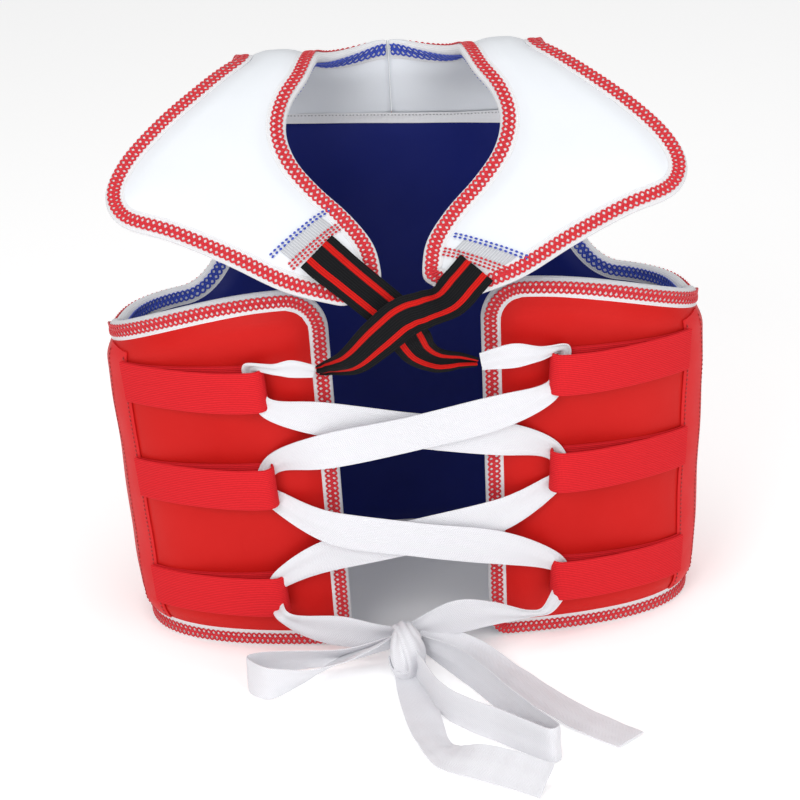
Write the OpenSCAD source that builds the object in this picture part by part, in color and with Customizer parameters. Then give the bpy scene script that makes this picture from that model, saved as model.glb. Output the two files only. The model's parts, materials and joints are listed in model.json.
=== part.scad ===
// Reversible chest protector with a laced back, standing open on its hem.
// Origin: on the ground, at the middle of the front hem. +Y points out of the
// wearer's chest, -Y towards the laced back, +X to the wearer's right. Millimetres.

/* [Trunk] */
// Half width of the padding's middle surface, at chest height
half_w_top = 206; // [190:1:225]
// Half width of the padding's middle surface, at the hem
half_w_hem = 195; // [180:1:215]
// Half depth of the padding's middle surface, at chest height
half_d_top = 97.5; // [88:0.5:108]
// Half depth of the padding's middle surface, at the hem
half_d_hem = 87.5; // [80:0.5:96]
// Squareness of the trunk's oval (2 is an ellipse)
squareness = 3; // [2:0.1:3.5]
// Height of the armhole's lowest point
armhole_z = 222; // [205:1:235]
// Height of the seam between the coloured trunk and the white yoke
yoke_z = 340; // [325:1:350]
// Thickness of the trunk padding with both covers
trunk_t = 20; // [16:1:24]

/* [Back wings] */
// Half width of the open gap down the back
gap_half = 52; // [45:1:65]
// Height of the wing's top edge beside the trunk
wing_side_z = 238; // [225:1:250]
// Height of the wing's top edge at its highest point
wing_peak_z = 274; // [260:1:290]
// Corner radius at the wing's inner top corner
wing_corner_r = 28; // [12:1:30]

/* [Shoulder flaps] */
// Thickness of the shoulder padding with both covers
flap_t = 14; // [10:1:18]
// Height of the shoulder line
shoulder_z = 405; // [395:1:420]

/* [Lacing] */
// Width of the webbing that the lacing loops are made of
webbing_w = 30; // [25:1:32]
// Heights of the middles of the three loops' free ends
loop_z = [52, 139, 214];
// Slope of the loops, in degrees, up towards their free ends
loop_tilt = 4; // [0:0.5:8]
// Distance of a loop's free end from the middle of the back
loop_tip_x = 96; // [90:1:100]
// Width of the lace
lace_w = 26; // [20:1:30]
// Width of the elastic shoulder straps
elastic_w = 30; // [25:1:32]

/* [Hidden] */
skin_t = 1.2;                 // cover and lining
foam_gap = 0.6;               // clearance between layers
rim_w = 3;                    // edge tape, measured in from the outline
rim_t = 8;                    // edge tape, across the padding
tape_t = 1.4;                 // webbing and seam tape
hem_h = 6;                    // height of the front hem tape
seam = 0.5;                   // clearance between neighbouring panels
hinge_gap = 5;                // open gap between the trunk and a wing
taper_z = 260;                // the trunk's sides stand upright above this height
oval_y_top = -93;             // middle of the oval, at chest height
oval_y_hem = -half_d_hem;     // and at the hem, which puts the front hem at y = 0
hinge_f = 0.575;              // where the wing starts, as a share of the half girth
band_f = 0.058;               // width of the loop band, as a share of the half girth
arm_x = [118, 165];           // armhole: its upright edge and the end of its flat floor
yoke_top_x = 108;             // half width of the yoke at the shoulder line
strap_x = 50;                 // neck edge at the shoulder line
neck_drop = 54;               // neck edge below the shoulder line, along the surface
knot_x = -12;                 // the knot lies a little off the middle

// ---------- small helpers ----------
function mix(a, b, k) = a + (b - a) * k;
function clamp01(k) = max(0, min(1, k));
function smooth(k) = let (c = clamp01(k)) c * c * (3 - 2 * c);
function unit(v) = v / norm(v);
function spow(v, p) = sign(v) * pow(abs(v), p);

// A smooth curve through a list of points, k from 0 to 1
function spline(p, k) =
  let (n = len(p) - 1, s = min(floor(k * n), n - 1), t = k * n - s,
       a = p[max(s - 1, 0)], b = p[s], c = p[s + 1], d = p[min(s + 2, n)])
  0.5 * (2 * b + (c - a) * t + (2 * a - 5 * b + 4 * c - d) * t * t
         + (3 * b - a - 3 * c + d) * t * t * t);

function hermite(p, tp, q, tq, k) =
  (2 * k * k * k - 3 * k * k + 1) * p + (k * k * k - 2 * k * k + k) * tp
  + (3 * k * k - 2 * k * k * k) * q + (k * k * k - k * k) * tq;

// Running length along a list of points
function lengths(p, i = 0, sum = 0) =
  i >= len(p) - 1 ? [sum] : concat([sum], lengths(p, i + 1, sum + norm(p[i + 1] - p[i])));

// ---------- the trunk's wall ----------
function oval(a, b, t) =
  [a * spow(sin(t), 2 / squareness), b * spow(cos(t), 2 / squareness)];
oval_t = [for (i = [0:120]) 1.5 * i];
oval_pts = [for (t = oval_t) oval(half_w_top, half_d_top, t)];
oval_len = lengths(oval_pts);
half_girth = oval_len[120];
angle_of_f = [for (i = [0:120]) [oval_len[i] / half_girth, oval_t[i]]];
f_of_front_x = [for (i = [0:60]) [oval_pts[i][0], oval_len[i] / half_girth]];
f_of_back_x = [for (i = [120:-1:60]) [oval_pts[i][0], oval_len[i] / half_girth]];

// Point on the middle surface. f runs 0 at the front's middle to 1 at the back's middle.
function wall_mid(side, f, z) =
  let (k = clamp01(z / taper_z), t = lookup(f, angle_of_f),
       p = oval(mix(half_w_hem, half_w_top, k), mix(half_d_hem, half_d_top, k), t))
  [side * p[0], mix(oval_y_hem, oval_y_top, k) + p[1], z];
function wall_normal(side, f, z) =
  let (e = 0.004, g = max(f, e),
       du = wall_mid(side, min(g + e, 1), z) - wall_mid(side, g - e, z),
       dv = wall_mid(side, g, z + 2) - wall_mid(side, g, z - 2))
  f <= 0 ? [0, 1, 0] : unit(cross(dv, du)) * side;
function wall(side, f, z, off) = wall_mid(side, f, z) + off * wall_normal(side, f, z);

// ---------- the shoulder surface ----------
// Section through a shoulder, as [y, z]: up from the yoke seam, over, and down the back.
front_y = oval_y_top + half_d_top;
shoulder_y = -73.6;
tip_y = -225;
tip_z = 275.5;
section = concat(
  [for (i = [0:19]) hermite([front_y, yoke_z], [0, 95], [shoulder_y, shoulder_z], [-110, 0], i / 20)],
  [for (i = [0:24]) hermite([shoulder_y, shoulder_z], [-125, 0], [tip_y, tip_z], [-72, -150], i / 24)]);
section_len = lengths(section);
shoulder_s = section_len[20];
flap_len = section_len[44] - shoulder_s;
y_of_s = [for (i = [0:44]) [section_len[i] - shoulder_s, section[i][0]]];
z_of_s = [for (i = [0:44]) [section_len[i] - shoulder_s, section[i][1]]];

// x across, s along the section, with s = 0 on the shoulder line
// The collar stands upright in front and only bends back towards the shoulders.
function bend_mid(x, s) =
  let (bow = half_d_top * (1 - pow(max(0, 1 - pow(abs(x) / half_w_top, squareness)), 1 / squareness)),
       fade = 1 - smooth((s + shoulder_s) / shoulder_s),
       stand = s < 0 ? 1 - smooth(abs(x) / strap_x) : 0)
  [x, mix(lookup(s, y_of_s) - bow * fade, front_y - bow, stand),
   mix(lookup(s, z_of_s), yoke_z + s + shoulder_s, stand)];
function bend_normal(x, s) =
  let (s0 = max(s - 4, -shoulder_s), s1 = min(s + 4, flap_len),
       ds = bend_mid(x, s1) - bend_mid(x, s0), dx = bend_mid(x + 3, s) - bend_mid(x - 3, s))
  unit(cross(ds, dx));
function bend(x, s, off) = bend_mid(x, s) + off * bend_normal(x, s);

// ---------- outlines ----------
// Top edge of the front panel over the half girth
function front_top(f) =
  let (x = wall_mid(1, f, taper_z)[0], k = clamp01((arm_x[1] - x) / (arm_x[1] - arm_x[0])))
  f > 0.5 || x >= arm_x[1] ? mix(armhole_z, wing_side_z, smooth((f - 0.46) / (hinge_f - 0.46)))
  : x <= arm_x[0] ? yoke_z
  : armhole_z + (yoke_z - armhole_z) * (1 - sqrt(1 - k * k));

// How far the edge tape's width moves the armhole's outline sideways, where it is steep
function arm_shift(f) =
  f > 0.5 ? 0 : rim_w / half_girth * clamp01((arm_x[1] - wall_mid(1, f, taper_z)[0]) / 15);

// The share of the half girth where the back wing ends
wing_f = lookup(gap_half, f_of_back_x);
wing_len = (wing_f - hinge_f) * half_girth;
function corner_drop(r, e) = e >= r ? 0 : r - sqrt(max(0, r * r - (r - e) * (r - e)));
// u runs 0 at the hinge to 1 at the inner edge
function wing_top(u, inset) =
  mix(wing_side_z, wing_peak_z, sin(90 * clamp01(u * 1.12))) - inset
  - corner_drop(wing_corner_r - inset, (1 - u) * wing_len - inset);
function wing_foot(u, inset) = inset + corner_drop(14 - inset, (1 - u) * wing_len - inset);
// Columns of a wing, which its edge tape shares
wing_ks = [for (i = [0:24]) 1 - pow(1 - i / 24, 1.5)];
function wing_u(k, inset) = k * (1 - inset / wing_len);
function wing_at(u) = mix(hinge_f + hinge_gap / 2 / half_girth, wing_f, u);

// The yoke and flap are one ruled patch between a neck edge and an outer edge.
// v runs 0 at the yoke seam, neck_v where the neck opens, 1 at the shoulder line, 2 at the end.
neck_v = 0.3;
function neck_edge(v) =
  v < neck_v ? [0, mix(-shoulder_s, -neck_drop, v / neck_v)]
  : v < 1 ? spline([[0, -neck_drop], [23, -50], [40, -36], [48, -16], [strap_x, 0]],
                   (v - neck_v) / (1 - neck_v))
  : spline([[strap_x, 0], [57, 26], [68, 48], [73, 72], [67, 96], [52, 118], [32, 140],
            [17, 163], [13, 188]], v - 1);
function outer_edge(v) =
  v < neck_v ? [mix(arm_x[0], yoke_top_x, smooth(v)), mix(-shoulder_s, -neck_drop, v / neck_v)]
  : v < 1 ? [mix(arm_x[0], yoke_top_x, smooth(v)), mix(-neck_drop, 0, (v - neck_v) / (1 - neck_v))]
  : spline([[yoke_top_x, 0], [134, 29], [163, 60], [187, 91], [196, 117], [186, 138], [154, 151],
            [116, 170], [78, 191], [38, flap_len - 1.5]], v - 1);
function strap_edge(v, across) = across == 0 ? neck_edge(v) : outer_edge(v);
// A point inset from the edge, square to it. across is 0 at the neck edge, 1 at the outer edge.
function strap_inset(v, across, inset) =
  let (e = 0.002, d = unit(strap_edge(min(v + e, 2), across) - strap_edge(max(v - e, 0), across)))
  strap_edge(v, across) + (across == 0 ? inset : -inset) * [d[1], -d[0]];

// Rows of the yoke and the flap, which their edge tapes share
yoke_vs = [0.01, 0.1, 0.19, 0.275, 0.31, 0.36, 0.42, 0.5, 0.6, 0.7, 0.8, 0.89, 0.97];
flap_vs = [for (i = [0:26]) 1.035 + 0.965 * i / 26];
flap_end = 0.017;             // how far short of the outline the flap's layers end, as a share

// ---------- building solids from grids ----------
// A closed sheet between two grids of points, low and high, of the same size
module sheet(low, high) {
  n = len(low);
  m = len(low[0]);
  points = concat([for (r = low) for (p = r) p], [for (r = high) for (p = r) p]);
  function id(i, j, top) = (top ? n * m : 0) + i * m + j;
  faces = concat(
    [for (i = [0:n - 2], j = [0:m - 2], k = [0, 1])
      k == 0 ? [id(i, j, false), id(i + 1, j, false), id(i + 1, j + 1, false)]
             : [id(i, j, false), id(i + 1, j + 1, false), id(i, j + 1, false)]],
    [for (i = [0:n - 2], j = [0:m - 2], k = [0, 1])
      k == 0 ? [id(i, j, true), id(i + 1, j + 1, true), id(i + 1, j, true)]
             : [id(i, j, true), id(i, j + 1, true), id(i + 1, j + 1, true)]],
    [for (i = [0:n - 2], k = [0, 1])
      k == 0 ? [id(i, 0, false), id(i, 0, true), id(i + 1, 0, true)]
             : [id(i, 0, false), id(i + 1, 0, true), id(i + 1, 0, false)]],
    [for (i = [0:n - 2], k = [0, 1])
      k == 0 ? [id(i, m - 1, false), id(i + 1, m - 1, true), id(i, m - 1, true)]
             : [id(i, m - 1, false), id(i + 1, m - 1, false), id(i + 1, m - 1, true)]],
    [for (j = [0:m - 2], k = [0, 1])
      k == 0 ? [id(0, j, false), id(0, j + 1, true), id(0, j, true)]
             : [id(0, j, false), id(0, j + 1, false), id(0, j + 1, true)]],
    [for (j = [0:m - 2], k = [0, 1])
      k == 0 ? [id(n - 1, j, false), id(n - 1, j, true), id(n - 1, j + 1, true)]
             : [id(n - 1, j, false), id(n - 1, j + 1, true), id(n - 1, j + 1, false)]]);
  polyhedron(points, faces);
}

// A bar of four-cornered section swept through rings of four points
module bar(rings) {
  n = len(rings);
  points = [for (r = rings) for (p = r) p];
  faces = concat(
    [[0, 1, 2], [0, 2, 3]],
    [for (i = [0:n - 2], j = [0:3], k = [0, 1])
      let (a = 4 * i + j, b = 4 * i + (j + 1) % 4)
      k == 0 ? [a, a + 4, b + 4] : [a, b + 4, b]],
    [[4 * n - 4, 4 * n - 2, 4 * n - 3], [4 * n - 4, 4 * n - 1, 4 * n - 2]]);
  polyhedron(points, faces);
}

// A flat tape along a list of [point, half-width vector] stations
module tape(stations, t) {
  n = len(stations);
  bar([for (i = [0:n - 1])
    let (p = stations[i][0], w = stations[i][1],
         along = stations[min(i + 1, n - 1)][0] - stations[max(i - 1, 0)][0],
         h = unit(cross(along, w)) * t / 2)
    [p - w - h, p + w - h, p + w + h, p - w + h]]);
}

// Stations of a tape: a smooth path and a smooth half-width vector
function stations(path, widths, steps) =
  [for (i = [0:steps]) [spline(path, i / steps), spline(widths, i / steps)]];

// ---------- padded panels ----------
// Layers, as [low, high] offsets from the middle surface, for a padding of thickness t
function cover_layer(t) = [t / 2 - skin_t, t / 2];
function lining_layer(t) = [-t / 2, -t / 2 + skin_t];
function foam_layer(t) = [-t / 2 + skin_t + foam_gap, t / 2 - skin_t - foam_gap];

front_columns = concat(
  [for (x = [0, 20, 45, 70, 92, 106, 112, 114.3, 116.5, 119, 123, 129, 138, 150, 165])
    lookup(x, f_of_front_x)],
  [for (k = [1:7]) mix(lookup(165, f_of_front_x), hinge_f - hinge_gap / 2 / half_girth, k / 7)]);

module front_panel(layer) {
  columns = concat([for (i = [len(front_columns) - 1:-1:1]) [-1, front_columns[i]]],
                   [for (f = front_columns) [1, f]]);
  function column(side, f, off) =
    let (edge = front_top(f + arm_shift(f)), top = edge - (edge >= yoke_z ? seam : rim_w))
    [for (k = [0, 0.5, 1]) wall(side, f, mix(hem_h + seam, top, k), off)];
  sheet([for (c = columns) column(c[0], c[1], layer[1])],
        [for (c = columns) column(c[0], c[1], layer[0])]);
}

module wing_panel(side, layer) {
  function column(u, off) = [for (k = [0:4])
    wall(side, wing_at(u), mix(wing_foot(u, rim_w), wing_top(u, rim_w), k / 4), off)];
  sheet([for (k = wing_ks) column(wing_u(k, rim_w), side > 0 ? layer[1] : layer[0])],
        [for (k = wing_ks) column(wing_u(k, rim_w), side > 0 ? layer[0] : layer[1])]);
}

// The yoke or the flap, over the given rows
module strap_panel(side, layer, vs) {
  function row(v, off) =
    let (hold = min(v, 2 - flap_end),
         a = strap_inset(hold, 0, v < neck_v ? seam / 2 : rim_w), b = strap_inset(hold, 1, rim_w))
    [for (k = [0:8]) let (q = mix(a, b, k / 8)) bend(side * q[0], q[1], off)];
  sheet([for (v = vs) row(v, side > 0 ? layer[0] : layer[1])],
        [for (v = vs) row(v, side > 0 ? layer[1] : layer[0])]);
}

// ---------- edge tapes ----------
// Section of an edge tape, from the middle surface's points and normals at its two sides
function rim_ring(outer_mid, inner_mid, n_outer, n_inner) =
  let (h = rim_t / 2)
  [outer_mid - n_outer * h, inner_mid - n_inner * h, inner_mid + n_inner * h, outer_mid + n_outer * h];

// One ring of the tape along an edge of the yoke or flap. hold keeps its inner edge back.
function strap_ring(side, v, across, hold = 2) =
  let (o = strap_edge(v, across), q = strap_inset(min(v, hold), across, rim_w - seam))
  rim_ring(bend_mid(side * o[0], o[1]), bend_mid(side * q[0], q[1]),
           bend_normal(side * o[0], o[1]), bend_normal(side * q[0], q[1]));

module strap_rim(side, vs, across) {
  bar([for (v = vs) let (ring = strap_ring(side, v, across))
    side * (across == 0 ? 1 : -1) > 0 ? ring : [ring[3], ring[2], ring[1], ring[0]]]);
}

// Edge tape round a wing: along the top, down the inner edge and back along the foot
module wing_rim(side) {
  inner = rim_w - seam;
  function ring(k, top) =
    let (u = wing_u(k, inner), z0 = top ? wing_top(k, 0) : wing_foot(k, 0),
         z1 = top ? wing_top(u, inner) : wing_foot(u, inner))
    rim_ring(wall_mid(side, wing_at(k), z0), wall_mid(side, wing_at(u), z1),
             wall_normal(side, wing_at(k), z0), wall_normal(side, wing_at(u), z1));
  all = concat([for (k = wing_ks) ring(k, true)], [for (i = [24:-1:0]) ring(wing_ks[i], false)]);
  bar([for (r = all) side > 0 ? r : [r[3], r[2], r[1], r[0]]]);
}

module armhole_rim(side) {
  bar([for (i = [len(front_columns) - 1:-1:7])
    let (shift = arm_shift(front_columns[i]), f = front_columns[i] + shift,
         fi = f - shift * (rim_w - seam) / rim_w, z = min(front_top(f), yoke_z - seam),
         ring = rim_ring(wall_mid(side, f, z), wall_mid(side, fi, z - (rim_w - seam)),
                         wall_normal(side, f, z), wall_normal(side, fi, z)))
    side > 0 ? [ring[3], ring[2], ring[1], ring[0]] : ring]);
}

// ---------- named pieces ----------
module front_cover_red() { color("#d81e1e") front_panel(cover_layer(trunk_t)); }
module front_foam_outer() { color("#3a3a3e") front_panel([0.15, foam_layer(trunk_t)[1]]); }
module front_foam_inner() { color("#55555c") front_panel([foam_layer(trunk_t)[0], -0.15]); }
module front_lining_blue() { color("#141f7a") front_panel(lining_layer(trunk_t)); }

module yoke(side, layer) { strap_panel(side, layer, yoke_vs); }
module flap(side, layer) { strap_panel(side, layer, flap_vs); }

module yoke_seam_tape() {
  half = arm_x[0] - rim_w - 1;
  function column(i, off) = [for (z = [yoke_z - 5, yoke_z + 5])
    wall(i < 0 ? -1 : 1, lookup(abs(i) / 8 * half, f_of_front_x), z, -trunk_t / 2 - off)];
  color("white")
  sheet([for (i = [-8:8]) column(i, 0.3)], [for (i = [-8:8]) column(i, 1.4)]);
}

// A straight-sided ring sector, so that its foot is one flat face
module binding_hem_front() {
  half = trunk_t / 2 - 1;
  fs = concat([for (i = [24:-1:1]) [-1, i / 24]], [for (i = [0:24]) [1, i / 24]]);
  reach = hinge_f - hinge_gap / 2 / half_girth;
  function rim(off) = [for (c = fs) let (p = wall(c[0], c[1] * reach, 0, off)) [p[0], p[1]]];
  inner = rim(-half);
  color("white") linear_extrude(hem_h)
    polygon(concat(rim(half), [for (i = [len(inner) - 1:-1:0]) inner[i]]));
}

module binding_neck_front() {
  vs = concat([neck_v + 0.003], [for (v = yoke_vs) if (v > neck_v) v], [0.985]);
  color("white") for (side = [-1, 1]) strap_rim(side, vs, 0);
}

// One tape down the neck edge, across the flap's end and back up the outer edge
module binding_flap(side) {
  vs = concat([1.02], flap_vs);
  hold = 2 - flap_end + 0.003;
  rings = concat([for (v = vs) strap_ring(side, v, 0, hold)],
                 [for (i = [len(vs) - 1:-1:0]) strap_ring(side, vs[i], 1, hold)]);
  color("white") bar([for (r = rings) side > 0 ? r : [r[3], r[2], r[1], r[0]]]);
}

module binding_armhole(side) {
  color("white") {
    armhole_rim(side);
    strap_rim(side, concat(yoke_vs, [0.985]), 1);
  }
}

// Reinforcing patch on the flap's end, under the elastic
module flap_patch(side) {
  corners = [[[44, 149], [88, 178]], [[33, 166], [74, 190]]];
  function row(k, off) = [for (u = [0, 0.25, 0.5, 0.75, 1])
    let (q = mix(mix(corners[0][0], corners[1][0], k), mix(corners[0][1], corners[1][1], k), u))
    bend(side * q[0], q[1], off)];
  vs = [0, 0.33, 0.67, 1];
  lo = flap_t / 2 + 0.2;
  hi = lo + 1;
  color("white")
  sheet([for (v = vs) row(v, side > 0 ? lo : hi)], [for (v = vs) row(v, side > 0 ? hi : lo)]);
}

// Upright strip that covers the loops' sewn ends
module loop_band(side) {
  lo = trunk_t / 2 + 0.3;
  function column(f, off) = [for (z = [4, 110, wing_side_z - 8]) wall(side, f, z, off)];
  fs = [for (i = [0:4]) hinge_f + hinge_gap / 2 / half_girth + band_f * i / 4];
  color("#e0242a")
  sheet([for (f = fs) column(f, side > 0 ? lo + tape_t : lo)],
        [for (f = fs) column(f, side > 0 ? lo : lo + tape_t)]);
}

// Webbing folded into a flat loop: out along the wing, round, and back
loop_root_f = hinge_f + hinge_gap / 2 / half_girth + band_f + 0.004;
loop_tip_f = lookup(loop_tip_x + 6, f_of_back_x);
loop_open = 13;
loop_base = trunk_t / 2 + 1.3;
module loop(side, z) {
  top_z = z + webbing_w / 2;
  function on_wing(f, off) = let (p = wall(side, f, top_z, off)) [p[0], p[1]];
  back = [for (i = [0:8]) on_wing(mix(loop_root_f, loop_tip_f, i / 8), loop_base)];
  front = [for (i = [0:8])
    on_wing(mix(loop_tip_f, loop_root_f, i / 8), loop_base + mix(loop_open, 2.2, smooth(i / 8)))];
  turn_mid = (back[8] + front[0]) / 2;
  out = unit([-side, 0]) * loop_open / 2;
  turn = [for (a = [-60, -30, 0, 30, 60]) turn_mid + out * cos(a) + (front[0] - back[8]) / 2 * sin(a)];
  path = concat(back, turn, front);
  n = len(path) - 1;
  function side_pts(s) = [for (i = [0:n])
    let (d = unit(path[min(i + 1, n)] - path[max(i - 1, 0)])) path[i] + s * [-d[1], d[0]] * tape_t / 2];
  b = side_pts(-1);
  tip_x = turn_mid[0];
  color("#e0242a")
  translate([tip_x, 0, z]) rotate([0, side * loop_tilt, 0]) translate([-tip_x, 0, -webbing_w / 2])
    linear_extrude(webbing_w) polygon(concat(side_pts(1), [for (i = [n:-1:0]) b[i]]));
}

// ---------- elastics, laces and bow ----------
back_y = oval_y_top - half_d_top - trunk_t / 2;      // outer face of the wings at chest height
lace_y = back_y - 8;
// Where a lace is sewn to its elastic: the right one lies nearer the middle
function lace_start_x(side) = side > 0 ? 48 : -66;

// side is the flap that the elastic is sewn to; lift sets which one passes on top
module elastic(side, lift) {
  e = elastic_w / 2;
  end_x = lace_start_x(-side) + side * 2.5;
  path = [bend(side * 55, 176, flap_t / 2 + 3.8), bend(side * 36, 197, flap_t / 2 + 4.6),
          [side * 14, tip_y - 12 - lift, 273], [-side * 4, tip_y - 10 - lift, 261],
          [-side * 22, tip_y - 1 - 2 * lift, 247], [mix(-side * 22, end_x, 0.6), lace_y - 5 - lift, 233],
          [end_x, lace_y - 2, 225]];
  widths = [[side * e * 0.77, -e * 0.26, -e * 0.58], [side * e * 0.72, -e * 0.24, -e * 0.65],
            [side * e * 0.62, -e * 0.1, -e * 0.76], [side * e * 0.56, 0, -e * 0.8],
            [side * e * 0.48, 0, -e * 0.74], [side * e * 0.3, 0, -e * 0.6], [side * e * 0.16, 0, -e * 0.4]];
  color("#1c1c1e") tape(stations(path, widths, 24), 1.2);
}

// The middle of a loop's hollow, just outside its fold
function in_loop(side, z) =
  [side * (loop_tip_x + 8), wall(1, loop_tip_f, z + webbing_w / 2, loop_base + loop_open / 2)[1], z];

// side is the loop at the top that the lace starts in; lift sets which one passes on top
module lace(side, lift) {
  w = lace_w / 2;
  x0 = lace_start_x(side);
  a = in_loop(side, loop_z[2]);
  b = in_loop(-side, loop_z[1]);
  c = in_loop(side, loop_z[0]);
  up = [0, 0, 20];
  end = [knot_x + side * 17, lace_y + 2, 18];
  z_high = (loop_z[2] + loop_z[1]) / 2;
  z_low = (loop_z[1] + loop_z[0]) / 2;
  path = [[x0, lace_y - 2, 225], [mix(x0, side * 88, 0.6), lace_y - 1, 230], [side * 96, lace_y + 1, 236],
          a + up, a, a - up,
          [side * 62, lace_y + 2 - lift, z_high + 13], [0, lace_y - lift, z_high + 2],
          [-side * 62, lace_y + 2 - lift, z_high - 10],
          b + up, b, b - up,
          [-side * 62, lace_y + 4 - lift, z_low + 13], [0, lace_y + 3 - lift, z_low + 1],
          [side * 62, lace_y + 5 - lift, z_low - 12],
          c + up, c, c - up, [mix(side * 84, end[0], 0.45), lace_y + 9, 22], end];
  flat = [0, 0, w * 0.9];
  thin = [side * w * 0.38, 0, 0];
  widths = [[0, 0, w * 0.5], [0, 0, w * 0.6], [side * w * 0.3, 0, w * 0.4],
            [side * w * 0.4, 0, w * 0.2], thin, [side * w * 0.4, 0, -w * 0.35],
            -flat, -flat, -flat,
            [side * w * 0.4, 0, -w * 0.35], thin, [side * w * 0.4, 0, w * 0.35],
            flat, flat, flat,
            [side * w * 0.4, 0, w * 0.35], thin, [side * w * 0.4, 0, -w * 0.35], -flat, -flat * 0.5];
  color("white") tape(stations(path, widths, 95), 1);
}

knot_c = [knot_x, lace_y - 3, 18];
module lace_knot() {
  color("white") translate(knot_c) {
    sphere(r = 11, $fn = 32);
    translate([3, -3, -9]) sphere(r = 8, $fn = 32);
  }
}

// Flat tape standing on its edge along a plan path
module plan_tape(path, z, h, steps, t) {
  pts = [for (i = [0:steps]) spline(path, i / steps)];
  function edge(s) = [for (i = [0:steps])
    let (d = unit(pts[min(i + 1, steps)] - pts[max(i - 1, 0)])) pts[i] + s * [-d[1], d[0]] * t / 2];
  b = edge(-1);
  color("white") translate([0, 0, z]) linear_extrude(h)
    polygon(concat(edge(1), [for (i = [steps:-1:0]) b[i]]));
}
module bow_loop_left() {
  k = [knot_c[0], knot_c[1]];
  plan_tape([k + [-14, -3], k + [-50, -5], k + [-90, -13], k + [-107, -22], k + [-104, -32], k + [-86, -36],
             k + [-50, -21], k + [-15, -9]], 1, 24, 40, 1);
}
module bow_loop_right() {
  k = [knot_c[0], knot_c[1]];
  plan_tape([k + [14, -3], k + [43, -28], k + [63, -66], k + [80, -104], k + [94, -140], k + [82, -138],
             k + [46, -86], k + [14, -24]], 1, 25, 44, 1);
}
module lace_tail_right() {
  path = [knot_c + [26, 0, -4], knot_c + [46, -8, -10], knot_c + [76, -42, -16], knot_c + [112, -92, -17],
          knot_c + [146, -128, -17]];
  widths = [[2, 2, 5], [5, 6, 3], [9, 9, 0], [9, 9, 0], [8, 11, 0]];
  color("white") tape(stations(path, widths, 20), 1);
}
// Falls forward from the knot, then turns onto its edge and runs off to the right
module lace_tail_left() {
  path = [knot_c + [-4, -16, -8], knot_c + [-4, -40, -10], knot_c + [6, -92, -12], knot_c + [20, -136, -8],
          knot_c + [34, -156, -4], knot_c + [60, -168, -4], knot_c + [84, -178, -4]];
  widths = [[7, 0, 1], [13, -2, 0], [13, -3, -2], [9, -5, -8], [1, 1, -13], [0, 2, -13], [0, 2, -13]];
  color("white") tape(stations(path, widths, 36), 1);
}

// ---------- what is drawn ----------
front_cover_red();
front_foam_outer();
front_foam_inner();
front_lining_blue();
color("white") yoke(-1, cover_layer(flap_t));  // yoke_cover_left
color("#3a3a3e") yoke(-1, foam_layer(flap_t));  // yoke_foam_left
color("white") yoke(-1, lining_layer(flap_t));  // yoke_lining_left
color("white") yoke(1, cover_layer(flap_t));  // yoke_cover_right
color("#3a3a3e") yoke(1, foam_layer(flap_t));  // yoke_foam_right
color("white") yoke(1, lining_layer(flap_t));  // yoke_lining_right
yoke_seam_tape();
binding_hem_front();
binding_neck_front();
binding_armhole(-1);  // binding_armhole_left
binding_armhole(1);  // binding_armhole_right
color("white") flap(-1, cover_layer(flap_t));  // flap_cover_left
color("#3a3a3e") flap(-1, foam_layer(flap_t));  // flap_foam_left
color("white") flap(-1, lining_layer(flap_t));  // flap_lining_left
binding_flap(-1);  // binding_flap_left
flap_patch(-1);  // flap_patch_left
color("white") flap(1, cover_layer(flap_t));  // flap_cover_right
color("#3a3a3e") flap(1, foam_layer(flap_t));  // flap_foam_right
color("white") flap(1, lining_layer(flap_t));  // flap_lining_right
binding_flap(1);  // binding_flap_right
flap_patch(1);  // flap_patch_right
color("#d81e1e") wing_panel(-1, cover_layer(trunk_t));  // wing_cover_left
color("#3a3a3e") wing_panel(-1, foam_layer(trunk_t));  // wing_foam_left
color("#141f7a") wing_panel(-1, lining_layer(trunk_t));  // wing_lining_left
color("white") wing_rim(-1);  // binding_wing_left
loop_band(-1);  // loop_band_left
loop(-1, loop_z[0]);  // loop_left_bottom
loop(-1, loop_z[1]);  // loop_left_middle
loop(-1, loop_z[2]);  // loop_left_top
color("#d81e1e") wing_panel(1, cover_layer(trunk_t));  // wing_cover_right
color("#3a3a3e") wing_panel(1, foam_layer(trunk_t));  // wing_foam_right
color("#141f7a") wing_panel(1, lining_layer(trunk_t));  // wing_lining_right
color("white") wing_rim(1);  // binding_wing_right
loop_band(1);  // loop_band_right
loop(1, loop_z[0]);  // loop_right_bottom
loop(1, loop_z[1]);  // loop_right_middle
loop(1, loop_z[2]);  // loop_right_top
elastic(-1, 0);  // elastic_left
elastic(1, 8);  // elastic_right
lace(-1, -3);  // lace_left
lace(1, 3);  // lace_right
lace_knot();
bow_loop_left();
bow_loop_right();
lace_tail_right();
lace_tail_left();
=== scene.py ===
"""Looks of the reversible chest protector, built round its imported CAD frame.

Lengths in this file are millimetres until a mesh is made, which is in metres.
Two surfaces carry everything: the trunk's wall, with coordinates (u, z), where u is the
length along the wall from the middle of the front; and the shoulder, with coordinates
(x, s), where s is the length along the shoulder from the shoulder line.
"""
import json
import math

import bpy
import numpy as np
from mathutils import Matrix, Vector


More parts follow.
